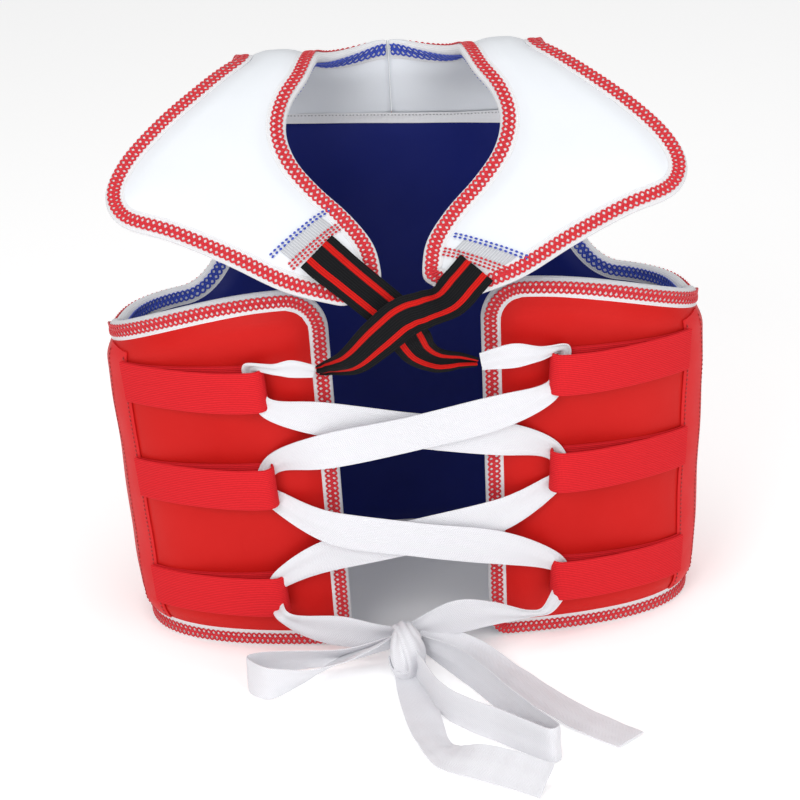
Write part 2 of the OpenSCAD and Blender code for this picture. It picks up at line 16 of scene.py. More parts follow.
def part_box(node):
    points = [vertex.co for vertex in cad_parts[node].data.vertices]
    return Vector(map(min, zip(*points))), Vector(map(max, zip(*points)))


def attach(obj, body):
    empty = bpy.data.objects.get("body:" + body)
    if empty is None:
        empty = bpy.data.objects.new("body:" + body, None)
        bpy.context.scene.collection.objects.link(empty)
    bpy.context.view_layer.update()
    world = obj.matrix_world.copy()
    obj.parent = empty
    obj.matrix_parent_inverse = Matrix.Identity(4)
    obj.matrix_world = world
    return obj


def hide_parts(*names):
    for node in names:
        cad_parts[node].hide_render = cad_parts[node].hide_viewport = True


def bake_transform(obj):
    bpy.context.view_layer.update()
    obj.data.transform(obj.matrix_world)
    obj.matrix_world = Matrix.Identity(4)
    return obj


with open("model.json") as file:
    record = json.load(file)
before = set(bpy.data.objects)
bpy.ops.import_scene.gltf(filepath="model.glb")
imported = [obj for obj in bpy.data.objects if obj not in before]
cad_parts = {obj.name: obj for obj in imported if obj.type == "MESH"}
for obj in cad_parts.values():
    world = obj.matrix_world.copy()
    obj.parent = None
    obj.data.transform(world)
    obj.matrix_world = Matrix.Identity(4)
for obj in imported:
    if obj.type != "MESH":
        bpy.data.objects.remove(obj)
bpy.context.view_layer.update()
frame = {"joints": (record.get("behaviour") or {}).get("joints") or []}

MM = 0.001


def box_mm(node):
    low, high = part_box(node)
    return np.array(low) / MM, np.array(high) / MM


JOINT_AT = {j["name"]: np.array(j["pos_m"]) / MM for j in frame["joints"]}
SIDES = (("left", -1), ("right", 1))

# ---------- driving dimensions ----------
SQUARENESS = 3
HALF_W_TOP, HALF_W_HEM = 206, 195
HALF_D_TOP, HALF_D_HEM = 97.5, 87.5
TAPER_Z = 260
Y_TOP, Y_HEM = -93, -87.5
TRUNK_HALF = 10
FLAP_HALF = 7
YOKE_Z = box_mm("front_cover_red")[1][2] + 0.5
WING_PEAK_Z = box_mm("binding_wing_right")[1][2] + 5
ARMHOLE_Z, WING_SIDE_Z = 223, 241
ARM_X = (118, 165)
GAP_HALF = 52
CORNER_TOP, CORNER_FOOT = 28, 14
SHOULDER_Y, SHOULDER_Z = JOINT_AT["right_flap_hinge"][1:]
FLAP_TIP = (-225, 275.5)
STRAP_X, NECK_DROP, NECK_V = 50, 54, 0.3
FRONT_Y = Y_TOP + HALF_D_TOP
TAPE_REACH = 13.5
SEWN = {-1: ((66.6, 152.5), 38.5), 1: ((60.6, 169.3), 20.3)}
TAPE_T, STRIP_T = 0.9, 1.3
PAD_INSET, OUTLINE_STEP = 1.3, 1.5
NET_PERIOD = 8.0
FLEX_LINES = ((141, 22), (131, 24), (120, 18))
TRUNK_EDGE, FLAP_EDGE = 4.0, 3.2
WEBBING_W, LACE_W, ELASTIC_W, BAND_W = 30, 26, 30, 24
LOOP_TIP_X, LOOP_OPEN, LOOP_TILT = 96, 13, 4
LOOP_Z = {h: box_mm(f"loop_right_{h}")[1][2] - WEBBING_W / 2 - 1 for h in ("bottom", "middle", "top")}
KNOT = sum(box_mm("lace_knot")) / 2 + np.array([0, 1.5, 4])


# ---------- numbers ----------
def mix(a, b, k):
    return a + (b - a) * k


def smooth(k):
    k = np.clip(k, 0, 1)
    return k * k * (3 - 2 * k)


def stack(*parts):
    """Coordinates from arrays of one shape, or that broadcast to one."""
    return np.stack(np.broadcast_arrays(*parts), -1)


def unit(v):
    return v / np.maximum(np.linalg.norm(v, axis=-1, keepdims=True), 1e-9)


def spline(points, k):
    """Catmull-Rom curve through the points, k from 0 to 1."""
    p = np.array(points, float)
    n = len(p) - 1
    k = np.atleast_1d(np.asarray(k, float)) * n
    s = np.minimum(np.floor(k).astype(int), n - 1)
    t = (k - s)[:, None]
    a, b, c, d = p[np.maximum(s - 1, 0)], p[s], p[s + 1], p[np.minimum(s + 2, n)]
    return 0.5 * (2 * b + (c - a) * t + (2 * a - 5 * b + 4 * c - d) * t * t
                  + (3 * b - a - 3 * c + d) * t ** 3)


def hermite(p, tp, q, tq, k):
    k = k[:, None]
    p, tp, q, tq = (np.array(v, float) for v in (p, tp, q, tq))
    return ((2 * k ** 3 - 3 * k ** 2 + 1) * p + (k ** 3 - 2 * k ** 2 + k) * tp
            + (3 * k ** 2 - 2 * k ** 3) * q + (k ** 3 - k ** 2) * tq)


def lengths(p):
    return np.concatenate([[0], np.cumsum(np.linalg.norm(np.diff(p, axis=0), axis=1))])


def resample(path, step):
    at = lengths(path)
    n = max(2, int(round(at[-1] / step)) + 1)
    want = np.linspace(0, at[-1], n)
    return np.stack([np.interp(want, at, path[:, k]) for k in range(path.shape[1])], -1)


def blur(rows, sigma):
    """Gaussian blur along the first axis, ends held."""
    reach = int(3 * sigma) + 1
    weights = np.exp(-0.5 * (np.arange(-reach, reach + 1) / sigma) ** 2)
    padded = np.concatenate([np.repeat(rows[:1], reach, 0), rows, np.repeat(rows[-1:], reach, 0)])
    out = [np.convolve(padded[:, k], weights / weights.sum(), "valid") for k in range(rows.shape[1])]
    return np.stack(out, -1)


def waviness(p, q, seed, scale=60.0):
    """Smooth unevenness between about -1 and 1."""
    rng = np.random.default_rng(seed)
    total = 0
    for k in range(5):
        a, phase, turn = rng.uniform(0.6, 1.5), rng.uniform(0, 7), rng.uniform(0, math.pi)
        along = p * math.cos(turn) + q * math.sin(turn)
        total = total + np.sin(along * a * (1 + 0.5 * k) / scale * 2 + phase)
    return total / 3


# ---------- the trunk's wall ----------
def oval(a, b, t):
    s, c = np.sin(t), np.cos(t)
    power = 2 / SQUARENESS
    return stack(a * np.abs(s) ** power, b * np.sign(c) * np.abs(c) ** power)


ring_pts = oval(HALF_W_TOP, HALF_D_TOP, np.linspace(0, math.pi, 4001))
ring_at = lengths(ring_pts)
GIRTH = ring_at[-1]
HINGE_U = 0.575 * GIRTH
SIDE_U = 0.5 * GIRTH


def u_of_x(x, back=False):
    half = len(ring_pts) // 2
    rows = slice(None, half - 1, -1) if back else slice(0, half + 1)
    return np.interp(x, ring_pts[rows, 0], ring_at[rows])


WING_U = float(u_of_x(GAP_HALF, back=True))
LOOP_TIP_U = float(u_of_x(LOOP_TIP_X + 6, back=True))
BAND_U = HINGE_U + 2.5


def wall_mid(u, z):
    u, z = np.broadcast_arrays(np.asarray(u, float), np.asarray(z, float))
    k = np.clip(z / TAPER_Z, 0, 1)
    x = np.interp(np.abs(u), ring_at, ring_pts[:, 0]) * mix(HALF_W_HEM, HALF_W_TOP, k) / HALF_W_TOP
    y = np.interp(np.abs(u), ring_at, ring_pts[:, 1]) * mix(HALF_D_HEM, HALF_D_TOP, k) / HALF_D_TOP
    return stack(np.sign(u) * x, mix(Y_HEM, Y_TOP, k) + y, z)


def wall(u, z):
    """Points on the wall's middle surface, and the directions out of it."""
    e = 2.0
    out = np.cross(wall_mid(u, z + e) - wall_mid(u, z - e), wall_mid(u + e, z) - wall_mid(u - e, z))
    return wall_mid(u, z), unit(out)


# ---------- the shoulder ----------
steps01 = np.linspace(0, 1, 121)
section = np.concatenate([
    hermite((FRONT_Y, YOKE_Z), (0, 95), (SHOULDER_Y, SHOULDER_Z), (-110, 0), steps01)[:-1],
    hermite((SHOULDER_Y, SHOULDER_Z), (-125, 0), FLAP_TIP, (-72, -150), steps01)])
section_at = lengths(section) - lengths(section)[120]
SHOULDER_S, FLAP_LEN = -section_at[0], section_at[-1]


def shoulder_mid(x, s):
    x, s = np.broadcast_arrays(np.asarray(x, float), np.asarray(s, float))
    curve = 1 - np.maximum(0, 1 - (np.abs(x) / HALF_W_TOP) ** SQUARENESS) ** (1 / SQUARENESS)
    curve = HALF_D_TOP * curve
    fade = 1 - smooth((s + SHOULDER_S) / SHOULDER_S)
    stand = np.where(s < 0, 1 - smooth(np.abs(x) / STRAP_X), 0)
    past = np.maximum(s - FLAP_LEN, 0)
    down = section[-1] - section[-2]
    down = down / np.linalg.norm(down)
    y = np.interp(s, section_at, section[:, 0]) + past * down[0]
    z = np.interp(s, section_at, section[:, 1]) + past * down[1] + np.minimum(s + SHOULDER_S, 0)
    return stack(x, mix(y - curve * fade, FRONT_Y - curve, stand),
                 mix(z, YOKE_Z + s + SHOULDER_S, stand))


def shoulder(x, s):
    e = 3.0
    out = np.cross(shoulder_mid(x, s + e) - shoulder_mid(x, s - e),
                   shoulder_mid(x + e, s) - shoulder_mid(x - e, s))
    return shoulder_mid(x, s), unit(out)


def raised(surface, a, b, height):
    """Points at a height over a surface's coordinates (a, b), and the directions out of it."""
    mid, n = surface(a, b)
    return mid + n * np.asarray(height)[..., None], n


# ---------- outlines ----------
def armhole_top(x, inset=0.0):
    k = np.clip((ARM_X[1] - x) / (ARM_X[1] - ARM_X[0] + inset), 0, 1)
    return YOKE_Z - (YOKE_Z - ARMHOLE_Z + inset) * np.sqrt(1 - k * k)


def side_rise(u):
    return mix(ARMHOLE_Z, WING_SIDE_Z, smooth((u / GIRTH - 0.46) / (HINGE_U / GIRTH - 0.46)))


def corner_drop(r, e):
    return np.where(e >= r, 0, r - np.sqrt(np.maximum(0, r * r - (r - e) ** 2)))


def wing_top(u):
    share = np.clip((u - HINGE_U) / (WING_U - HINGE_U), 0, 1)
    flat = np.where(u < HINGE_U, side_rise(u),
                    mix(WING_SIDE_Z, WING_PEAK_Z, np.sin(math.pi / 2 * np.minimum(1, share * 1.12))))
    return flat - corner_drop(CORNER_TOP, WING_U - u)


def wing_foot(u, inset):
    return inset + corner_drop(CORNER_FOOT - inset, WING_U - u - inset)


NECK_CURVE = [[0, -NECK_DROP], [23, -50], [40, -36], [48, -16], [STRAP_X, 0]]
FLAP_NECK = [[STRAP_X, 0], [57, 26], [68, 48], [73, 72], [67, 96], [52, 118], [32, 140],
             [17, 163], [13, 188]]
FLAP_OUTER = [[108, 0], [134, 29], [163, 60], [187, 91], [196, 117], [186, 138], [154, 151],
              [116, 170], [78, 191], [38, FLAP_LEN - 1.5]]


def neck_edge(v):
    v = np.asarray(v, float)
    low = stack(0 * v, mix(-SHOULDER_S, -NECK_DROP, v / NECK_V))
    mid = spline(NECK_CURVE, np.clip((v - NECK_V) / (1 - NECK_V), 0, 1))
    high = spline(FLAP_NECK, np.clip(v - 1, 0, 1))
    return np.where((v < NECK_V)[:, None], low, np.where((v < 1)[:, None], mid, high))


def outer_edge(v):
    v = np.asarray(v, float)
    x = mix(ARM_X[0], 108, smooth(v))
    s = np.where(v < NECK_V, mix(-SHOULDER_S, -NECK_DROP, v / NECK_V),
                 mix(-NECK_DROP, 0, (v - NECK_V) / (1 - NECK_V)))
    return np.where((v < 1)[:, None], stack(x, s), spline(FLAP_OUTER, np.clip(v - 1, 0, 1)))


# ---------- making meshes ----------
def make_mesh(name, verts, faces, material, uv=None, sharp=None):
    """verts in millimetres, faces as an array of quads or a list of such arrays, uv per vertex."""
    groups = faces if isinstance(faces, list) else [faces]
    verts = np.asarray(verts, float)
    volume = 0.0
    for f in groups:
        a = verts[f[:, 0]]
        for k in range(1, f.shape[1] - 1):
            volume += np.einsum("ij,ij->", a, np.cross(verts[f[:, k]], verts[f[:, k + 1]]))
    if volume < 0:
        groups = [f[:, ::-1] for f in groups]
    loops = np.concatenate([f.ravel() for f in groups])
    sizes = np.concatenate([np.full(len(f), f.shape[1]) for f in groups])
    mesh = bpy.data.meshes.new(name)
    mesh.vertices.add(len(verts))
    mesh.vertices.foreach_set("co", (verts * MM).astype(np.float32).ravel())
    mesh.loops.add(len(loops))
    mesh.loops.foreach_set("vertex_index", loops.astype(np.int32))
    mesh.polygons.add(len(sizes))
    starts = np.concatenate([[0], np.cumsum(sizes)[:-1]])
    mesh.polygons.foreach_set("loop_start", starts.astype(np.int32))
    mesh.polygons.foreach_set("use_smooth", np.ones(len(sizes), bool))
    mesh.update(calc_edges=True)
    if uv is not None:
        layer = mesh.uv_layers.new(name="UVMap")
        layer.data.foreach_set("uv", np.asarray(uv, np.float32)[loops].ravel())
    if sharp:
        mesh.set_sharp_from_angle(angle=math.radians(sharp))
    mesh.materials.append(material)
    obj = bpy.data.objects.new(name, mesh)
    bpy.context.scene.collection.objects.link(obj)
    return obj


def grid_faces(n, m, start=0):
    i, j = np.meshgrid(np.arange(n - 1), np.arange(m - 1), indexing="ij")
    a = (i * m + j).ravel() + start
    return stack(a, a + m, a + m + 1, a + 1)


def closed_faces(n, m):
    """Two grids of n by m points, top first, joined round their borders."""
    top = grid_faces(n, m)
    low = grid_faces(n, m, n * m)[:, ::-1]
    border = np.concatenate([np.arange(m - 1), np.arange(n - 1) * m + m - 1,
                             n * m - 1 - np.arange(m - 1), (n - 1 - np.arange(n - 1)) * m])
    after = np.roll(border, -1)
    side = stack(border, after, after + n * m, border + n * m)
    return np.concatenate([top, low, side])


def slab(name, high, low, material, uv, sharp=None):
    """A closed solid between two grids of points."""
    n, m = high.shape[:2]
    verts = np.concatenate([high.reshape(-1, 3), low.reshape(-1, 3)])
    uv = np.concatenate([uv.reshape(-1, 2)] * 2)
    return make_mesh(name, verts, closed_faces(n, m), material, uv, sharp)


def grid_normals(g):
    return unit(np.cross(np.gradient(g, axis=0), np.gradient(g, axis=1)))


def ribbon(name, g, thickness, material, rib=0.0, rows=slice(None)):
    """A closed strip round a grid of points: rows along it, columns across it. rows picks a stretch,
    which meets the next one exactly because both are cut from the same strip."""
    n = grid_normals(g)
    half = np.full(g.shape[:2], thickness / 2)
    half[:, [0, -1]] *= 0.5
    if rib:
        half = half + rib * (np.arange(g.shape[1]) % 2)[None, :]
    along = np.concatenate([[0], np.cumsum(np.linalg.norm(np.diff(g, axis=0), axis=2).mean(1))])
    across = np.concatenate([np.zeros((len(g), 1)),
                             np.cumsum(np.linalg.norm(np.diff(g, axis=1), axis=2), axis=1)], 1)
    across = across.mean(0)
    uv = stack(along[:, None], (across - across[-1] / 2)[None, :])
    high, low = g + n * half[..., None], g - n * half[..., None]
    return slab(name, high[rows], low[rows], material, uv[rows], sharp=50)


def tubes(name, lines, normals, half_w, half_h, material):
    """Thread laid along lines of points, flattened towards the surface that it lies on."""
    sides = 6
    verts, faces, start = [], [], 0
    turn = np.arange(sides) * 2 * math.pi / sides
    for p, n in zip(lines, normals):
        d = unit(np.gradient(p, axis=0))
        b = unit(np.cross(d, n))
        up = np.cross(b, d)
        ends = np.ones(len(p))
        ends[[0, -1]] = 0.35
        ring = (p[:, None] + b[:, None] * (np.cos(turn) * half_w)[None, :, None] * ends[:, None, None]
                + up[:, None] * (np.sin(turn) * half_h)[None, :, None] * ends[:, None, None])
        verts.append(ring.reshape(-1, 3))
        i, j = np.meshgrid(np.arange(len(p) - 1), np.arange(sides), indexing="ij")
        a, c = i * sides + j, i * sides + (j + 1) % sides
        faces.append(stack(a, a + sides, c + sides, c).reshape(-1, 4) + start)
        cap = np.arange(sides)
        last = start + (len(p) - 1) * sides
        for base, order in ((start, cap), (last, cap[::-1])):
            for k in range(1, sides - 2, 2):
                faces.append(base + order[[0, k, k + 1, min(k + 2, sides - 1)]][None])
        start += len(p) * sides
    return make_mesh(name, np.concatenate(verts), np.concatenate(faces), material)


# ---------- materials ----------
class Graph:
    """A material's node graph, with short ways to add nodes."""

    def __init__(self, name, rough, specular):
        self.material = bpy.data.materials.new(name)
        self.material.use_nodes = True
        self.tree = self.material.node_tree
        self.shader = self.tree.nodes["Principled BSDF"]
        self.set("Roughness", rough)
        self.set("Specular IOR Level", specular)

    def put(self, target, value):
        if isinstance(value, bpy.types.NodeSocket):
            self.tree.links.new(value, target)
        else:
            target.default_value = value

    def set(self, name, value):
        self.put(self.shader.inputs[name], value)

    def math(self, operation, a, b=0.0):
        node = self.tree.nodes.new("ShaderNodeMath")
        node.operation = operation
        self.put(node.inputs[0], a)
        self.put(node.inputs[1], b)
        return node.outputs[0]

    def noise(self, scale, detail):
        node = self.tree.nodes.new("ShaderNodeTexNoise")
        self.put(node.inputs["Scale"], scale)
        self.put(node.inputs["Detail"], detail)
        self.put(node.inputs["Vector"], self.place())
        return node.outputs["Fac"]

    def cells(self, scale):
        node = self.tree.nodes.new("ShaderNodeTexVoronoi")
        self.put(node.inputs["Scale"], scale)
        self.put(node.inputs["Vector"], self.place())
        return node.outputs["Distance"]

    def place(self):
        if not hasattr(self, "_place"):
            self._place = self.tree.nodes.new("ShaderNodeTexCoord").outputs["Object"]
        return self._place

    def uv(self):
        """Along and across a strip, in millimetres."""
        if not hasattr(self, "_uv"):
            source = self.tree.nodes.new("ShaderNodeUVMap")
            split = self.tree.nodes.new("ShaderNodeSeparateXYZ")
            self.tree.links.new(source.outputs["UV"], split.inputs[0])
            self._uv = split.outputs[0], split.outputs[1]
        return self._uv

    def wave(self, value, period):
        """0 to 1 and back over each period."""
        turned = self.math("SINE", self.math("MULTIPLY", value, 2 * math.pi / period))
        return self.math("ADD", self.math("MULTIPLY", turned, 0.5), 0.5)

    def colours(self, factor, a, b):
        node = self.tree.nodes.new("ShaderNodeMix")
        node.data_type = "RGBA"
        self.put(node.inputs["Factor"], factor)
        self.put(node.inputs[6], a if isinstance(a, bpy.types.NodeSocket) else (*a, 1))
        self.put(node.inputs[7], b if isinstance(b, bpy.types.NodeSocket) else (*b, 1))
        return node.outputs[2]

    def rough(self, factor, low, high):
        self.set("Roughness", self.math("ADD", self.math("MULTIPLY", factor, high - low), low))

    def bump(self, height, depth_mm, strength, under=None):
        node = self.tree.nodes.new("ShaderNodeBump")
        self.put(node.inputs["Strength"], strength)
        self.put(node.inputs["Distance"], depth_mm * MM)
        self.put(node.inputs["Height"], height)
        if under is not None:
            self.put(node.inputs["Normal"], under)
        self.set("Normal", node.outputs["Normal"])
        return node.outputs["Normal"]


def leather(name, colour, rough, specular, wear=0.06):
    """Polyurethane leather: fine grain, faint creases, and a broad, faint change of shade."""
    g = Graph(name, rough, specular)
    broad = g.noise(14, 3)
    light = tuple(min(1, c * (1 + wear) + 0.01) for c in colour)
    dark = tuple(c * (1 - wear) for c in colour)
    g.set("Base Color", g.colours(broad, dark, light))
    g.rough(g.noise(60, 2), rough - 0.08, rough + 0.1)
    soft = g.bump(g.noise(38, 2), 0.7, 0.35)
    grain = g.bump(g.cells(1100), 0.10, 0.5, soft)
    g.bump(g.noise(2600, 1), 0.05, 0.4, grain)
    return g.material


def woven(name, colour, shade, pitch=(1.1, 1.5)):
    """Plain woven tape: threads along and across, with shadow between them."""
    g = Graph(name, 0.85, 0.3)
    along, across = g.uv()
    row = g.wave(along, pitch[0])
    rib = g.wave(across, pitch[1])
    weave = g.math("MULTIPLY", row, rib)
    # Painted shade: the colour goes to the shade colour where the weave is low, in the gaps between the
    # threads.
    g.set("Base Color", g.colours(weave, shade, colour))
    g.set("Sheen Weight", 0.15)
    under = g.bump(g.noise(900, 2), 0.12, 0.5)
    g.bump(weave, 0.28, 0.8, under)
    return g.material


def herringbone(name, colour, shade):
    """Cotton tape in zigzag twill."""
    g = Graph(name, 0.9, 0.25)
    along, across = g.uv()
    zig = g.math("PINGPONG", g.math("ADD", across, 100.0), 3.3)
    twill = g.wave(g.math("ADD", along, zig), 1.25)
    cord = g.wave(across, 0.8)
    height = g.math("ADD", g.math("MULTIPLY", twill, 0.75), g.math("MULTIPLY", cord, 0.25))
    # Painted shade: the colour goes to the shade colour in the twill's low parts, where the bump is low
    # too.
    g.set("Base Color", g.colours(height, shade, colour))
    g.set("Sheen Weight", 0.2)
    under = g.bump(g.noise(700, 3), 0.18, 0.5)
    g.bump(height, 0.3, 0.8, under)
    return g.material


def ribbed(name, colour, shade, stripes=None):
    """Narrow woven webbing with ribs along it. stripes gives a colour, its painted shade colour for the
    low parts between the ribs, and its inner and outer edge.
    """
    g = Graph(name, 0.8, 0.15)
    along, across = g.uv()
    rib = g.wave(across, 1.35)
    cross = g.wave(along, 0.9)
    height = g.math("ADD", g.math("MULTIPLY", rib, 0.7), g.math("MULTIPLY", cross, 0.3))
    # Painted shade: the colour goes to the shade colour in the low parts between the ribs; the stripe
    # does the same with its own shade colour.
    base = g.colours(height, shade, colour)
    if stripes:
        stripe, stripe_shade, inner, outer = stripes
        off = g.math("ABSOLUTE", across)
        inside = g.math("MULTIPLY", g.math("GREATER_THAN", off, inner),
                        g.math("LESS_THAN", off, outer))
        base = g.colours(inside, base, g.colours(height, stripe_shade, stripe))
    g.set("Base Color", base)
    g.bump(height, 0.3, 0.8)
    return g.material


def thread(name, colour):
    g = Graph(name, 0.6, 0.4)
    twist = g.noise(1500, 1)
    # Painted shade: the colour drops to three quarters where the twist noise, which is also the bump, is
    # low.
    g.set("Base Color", g.colours(twist, tuple(c * 0.75 for c in colour), colour))
    g.set("Sheen Weight", 0.2)
    g.bump(twist, 0.25, 0.7)
    return g.material


RED = leather("red leather", (0.54, 0.006, 0.004), 0.46, 0.11)
WHITE = leather("white leather", (0.72, 0.745, 0.78), 0.42, 0.3, 0.02)
BLUE = leather("blue leather", (0.003, 0.009, 0.12), 0.42, 0.10)
# Painted shade: the second colour of each tape, patch, lace, webbing and elastic, and the elastic's
# second stripe colour, is the colour of the low parts of its weave.
TAPE = woven("white edge tape", (0.86, 0.86, 0.87), (0.68, 0.68, 0.7))
SEAM_TAPE = woven("white seam tape", (0.86, 0.86, 0.87), (0.72, 0.72, 0.74), (0.9, 0.9))
PATCH = woven("ribbed patch", (0.74, 0.75, 0.77), (0.42, 0.43, 0.46), (0.9, 1.9))
LACE = herringbone("white lace", (0.85, 0.85, 0.88), (0.66, 0.66, 0.70))
BAND = leather("red band", (0.62, 0.010, 0.012), 0.5, 0.12)
WEBBING = ribbed("red webbing", (0.78, 0.020, 0.028), (0.46, 0.008, 0.012))
ELASTIC = ribbed("striped elastic", (0.008, 0.008, 0.009), (0.002, 0.002, 0.003),
                 ((0.62, 0.010, 0.006), (0.36, 0.004, 0.003), 4.2, 7.6))
RED_THREAD = thread("red thread", (0.66, 0.008, 0.02))
GREY_THREAD = thread("grey thread", (0.4, 0.4, 0.42))
BLUE_THREAD = thread("blue thread", (0.03, 0.07, 0.5))
WEBBING_THREAD = thread("dark red thread", (0.36, 0.004, 0.006))


# ---------- fastening pieces to the frame ----------
WING_BLEND = ((0, -105, 110), (0, -150, 110))
FLAP_BLEND = ((0, SHOULDER_Y + 15, SHOULDER_Z), (0, SHOULDER_Y - 30, SHOULDER_Z))


def metres(p):
    return tuple(float(c) * MM for c in p)


def settle(obj, slot, body, *nodes, between=None):
    """slot, the piece's finish, is not used. A piece on the trunk or the bow moves with that body, and
    the nodes that the piece stands for are hidden.
    A piece on a wing or a flap only has its transform baked into its mesh; no blend into it is made."""
    if body in ("trunk", "bow"):
        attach(obj, body)
    else:
        start, end = between or (WING_BLEND if body.startswith("wing") else FLAP_BLEND)
        metres(start)
        metres(end)
        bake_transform(obj)
    if nodes:
        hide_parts(*nodes)


# ---------- padded panels ----------
def nearest(points, outline):
    """Distance from each point of a grid to an outline, in surface coordinates."""
    flat = points.reshape(-1, 2)
    out = np.empty(len(flat))
    for k in range(0, len(flat), 2000):
        d = flat[k:k + 2000, None] - outline[None]
        out[k:k + 2000] = np.sqrt((d ** 2).sum(-1).min(1))
    return out.reshape(points.shape[:2])


def puff(d, edge, full, run=16.0):
    """Half thickness of a pad at distance d from its outline."""
    rounded = np.sqrt(np.maximum(edge ** 2 - np.maximum(edge - d, 0) ** 2, 1.0))
    k = np.clip((d - TAPE_REACH + 2) / run, 0, 1)
    return rounded + (full - edge) * np.sin(k * math.pi / 2)


def pinch(d, depth, run=7.0):
    """How much a sewn seam at distance d pulls the cover in."""
    return depth * np.exp(-(d / run) ** 1.3)


def half_pad(name, surface, coords, half, side, material):
    """The outer (side 1) or inner (side -1) half of a pad: its cover and the foam under it."""
    mid, normal = surface(coords[..., 0], coords[..., 1])
    skin = mid + side * half[..., None] * normal
    return slab(name, skin, mid + side * 0.03 * normal, material, coords)


def trunk_top_line():
    """The trunk's upper outline on the right, from the yoke to the wing's inner corner."""
    turn = np.linspace(math.pi / 2, 0, 90)
    x = ARM_X[1] - (ARM_X[1] - ARM_X[0]) * np.sin(turn)
    arch = stack(u_of_x(x), armhole_top(x))
    u = np.linspace(u_of_x(ARM_X[1]), WING_U - CORNER_TOP, 160)
    side = stack(u, wing_top(u))
    side[:, 1] = blur(side[:, 1:], 6)[:, 0]
    bend = np.linspace(0, math.pi / 2, 20)[1:]
    corner = stack(WING_U - CORNER_TOP * (1 - np.sin(bend)),
                   side[-1, 1] - CORNER_TOP * (1 - np.cos(bend)))
    return resample(np.concatenate([arch, side[1:], corner]), OUTLINE_STEP)


def wing_foot_line():
    bend = np.linspace(math.pi / 2, 0, 14)
    corner = stack(WING_U - CORNER_FOOT * (1 - np.sin(bend)), CORNER_FOOT * (1 - np.cos(bend)))
    return np.concatenate([corner, [[0, 0]]])


TOP_LINE = trunk_top_line()
OUTLINE = resample(np.concatenate([TOP_LINE, wing_foot_line()]), OUTLINE_STEP)


def both_sides(line):
    return np.concatenate([line, line * [-1, 1]])


def top_at(u, inset):
    """Height of the trunk's top edge at u > u_of_x(ARM_X[1])."""
    side = TOP_LINE[np.argmin(TOP_LINE[:, 1]):]
    reach = side[:np.argmax(side[:, 0] > WING_U - CORNER_TOP)]
    return np.interp(u, reach[:, 0], reach[:, 1]) - inset


def front_coords():
    """Grid on the front panel, from one side of the trunk to the other."""
    inset, level, arch = PAD_INSET, 30, 26
    turn = np.linspace(math.pi / 2, 0, arch)
    x = ARM_X[1] - (ARM_X[1] - ARM_X[0] + inset) * np.sin(turn)
    u = np.concatenate([u_of_x(np.linspace(0, ARM_X[0] - inset - 0.6, level)), u_of_x(x),
                        np.linspace(u_of_x(ARM_X[1]), SIDE_U, 20)[1:]])
    top = np.concatenate([np.full(level, YOKE_Z), armhole_top(x, inset),
                          top_at(u[level + arch:], inset)])
    u, top = np.concatenate([-u[:0:-1], u]), np.concatenate([top[:0:-1], top])
    share = np.linspace(0, 1, 84)
    return stack(u[:, None], inset + (top - inset)[:, None] * share)


def wing_coords():
    """Grid on the right wing, from the side of the trunk to the lacing gap."""
    inset, straight = PAD_INSET, 54
    bend = np.linspace(0, math.pi / 2, 10)[1:]
    r = CORNER_TOP - inset
    u = np.concatenate([np.linspace(SIDE_U, WING_U - CORNER_TOP, straight),
                        WING_U - CORNER_TOP + r * np.sin(bend)])
    top = np.concatenate([top_at(u[:straight], inset),
                          top_at(WING_U - CORNER_TOP, inset) - r * (1 - np.cos(bend))])
    foot = wing_foot(u, inset)
    share = np.linspace(0, 1, 68)
    return stack(u[:, None], foot[:, None] + (top - foot)[:, None] * share)


def trunk_half(coords, side):
    """Half thickness of the trunk's padding on its outer (side 1) or inner (side -1) face."""
    d = nearest(coords, both_sides(OUTLINE))
    half = puff(d, TRUNK_EDGE, TRUNK_HALF)
    inner = smooth((d - 20) / 40)
    half = half + inner * (0.9 + 0.9 * waviness(coords[..., 0], coords[..., 1], 3 + side))
    near_yoke = np.abs(YOKE_Z - coords[..., 1])
    half = half - pinch(near_yoke, 3.0) * (np.abs(coords[..., 0]) < ARM_X[0] + 2)
    if side < 0:
        middle = np.abs(coords[..., 0])
        for level, dip in FLEX_LINES:
            line = level - dip * np.exp(-(middle / 26) ** 2) * 0.7 + 0.04 * middle
            half = half - 0.8 * np.exp(-((coords[..., 1] - line) / 2.2) ** 2) * inner
    return half


def face_height(u, z, side=1):
    """Height of the trunk's outer or inner face above its middle surface, at single points."""
    coords = stack(np.asarray(u, float), np.asarray(z, float))
    return trunk_half(coords.reshape(-1, 1, 2), side).reshape(coords.shape[:-1])


def pad(surface, coords, half_of, body, *faces):
    """Both faces of a pad. Each is its side, name, material and slot, and its CAD nodes."""
    for side, name, material, slot, *nodes in faces:
        face = half_pad(name, surface, coords, half_of(coords, side), side, material)
        settle(face, slot, body, *nodes)


def front_panel():
    pad(wall, front_coords(), trunk_half, "trunk",
        (1, "front_cover", RED, "cover_red", "front_cover_red", "front_foam_outer"),
        (-1, "front_lining", BLUE, "lining_blue", "front_lining_blue", "front_foam_inner"))


def wing_panel(name, sign):
    pad(wall, wing_coords() * [sign, 1], trunk_half, f"wing_{name}",
        (1, f"wing_cover_{name}_pad", RED, "cover_red", f"wing_cover_{name}", f"wing_foam_{name}"),
        (-1, f"wing_lining_{name}_pad", BLUE, "lining_blue", f"wing_lining_{name}"))


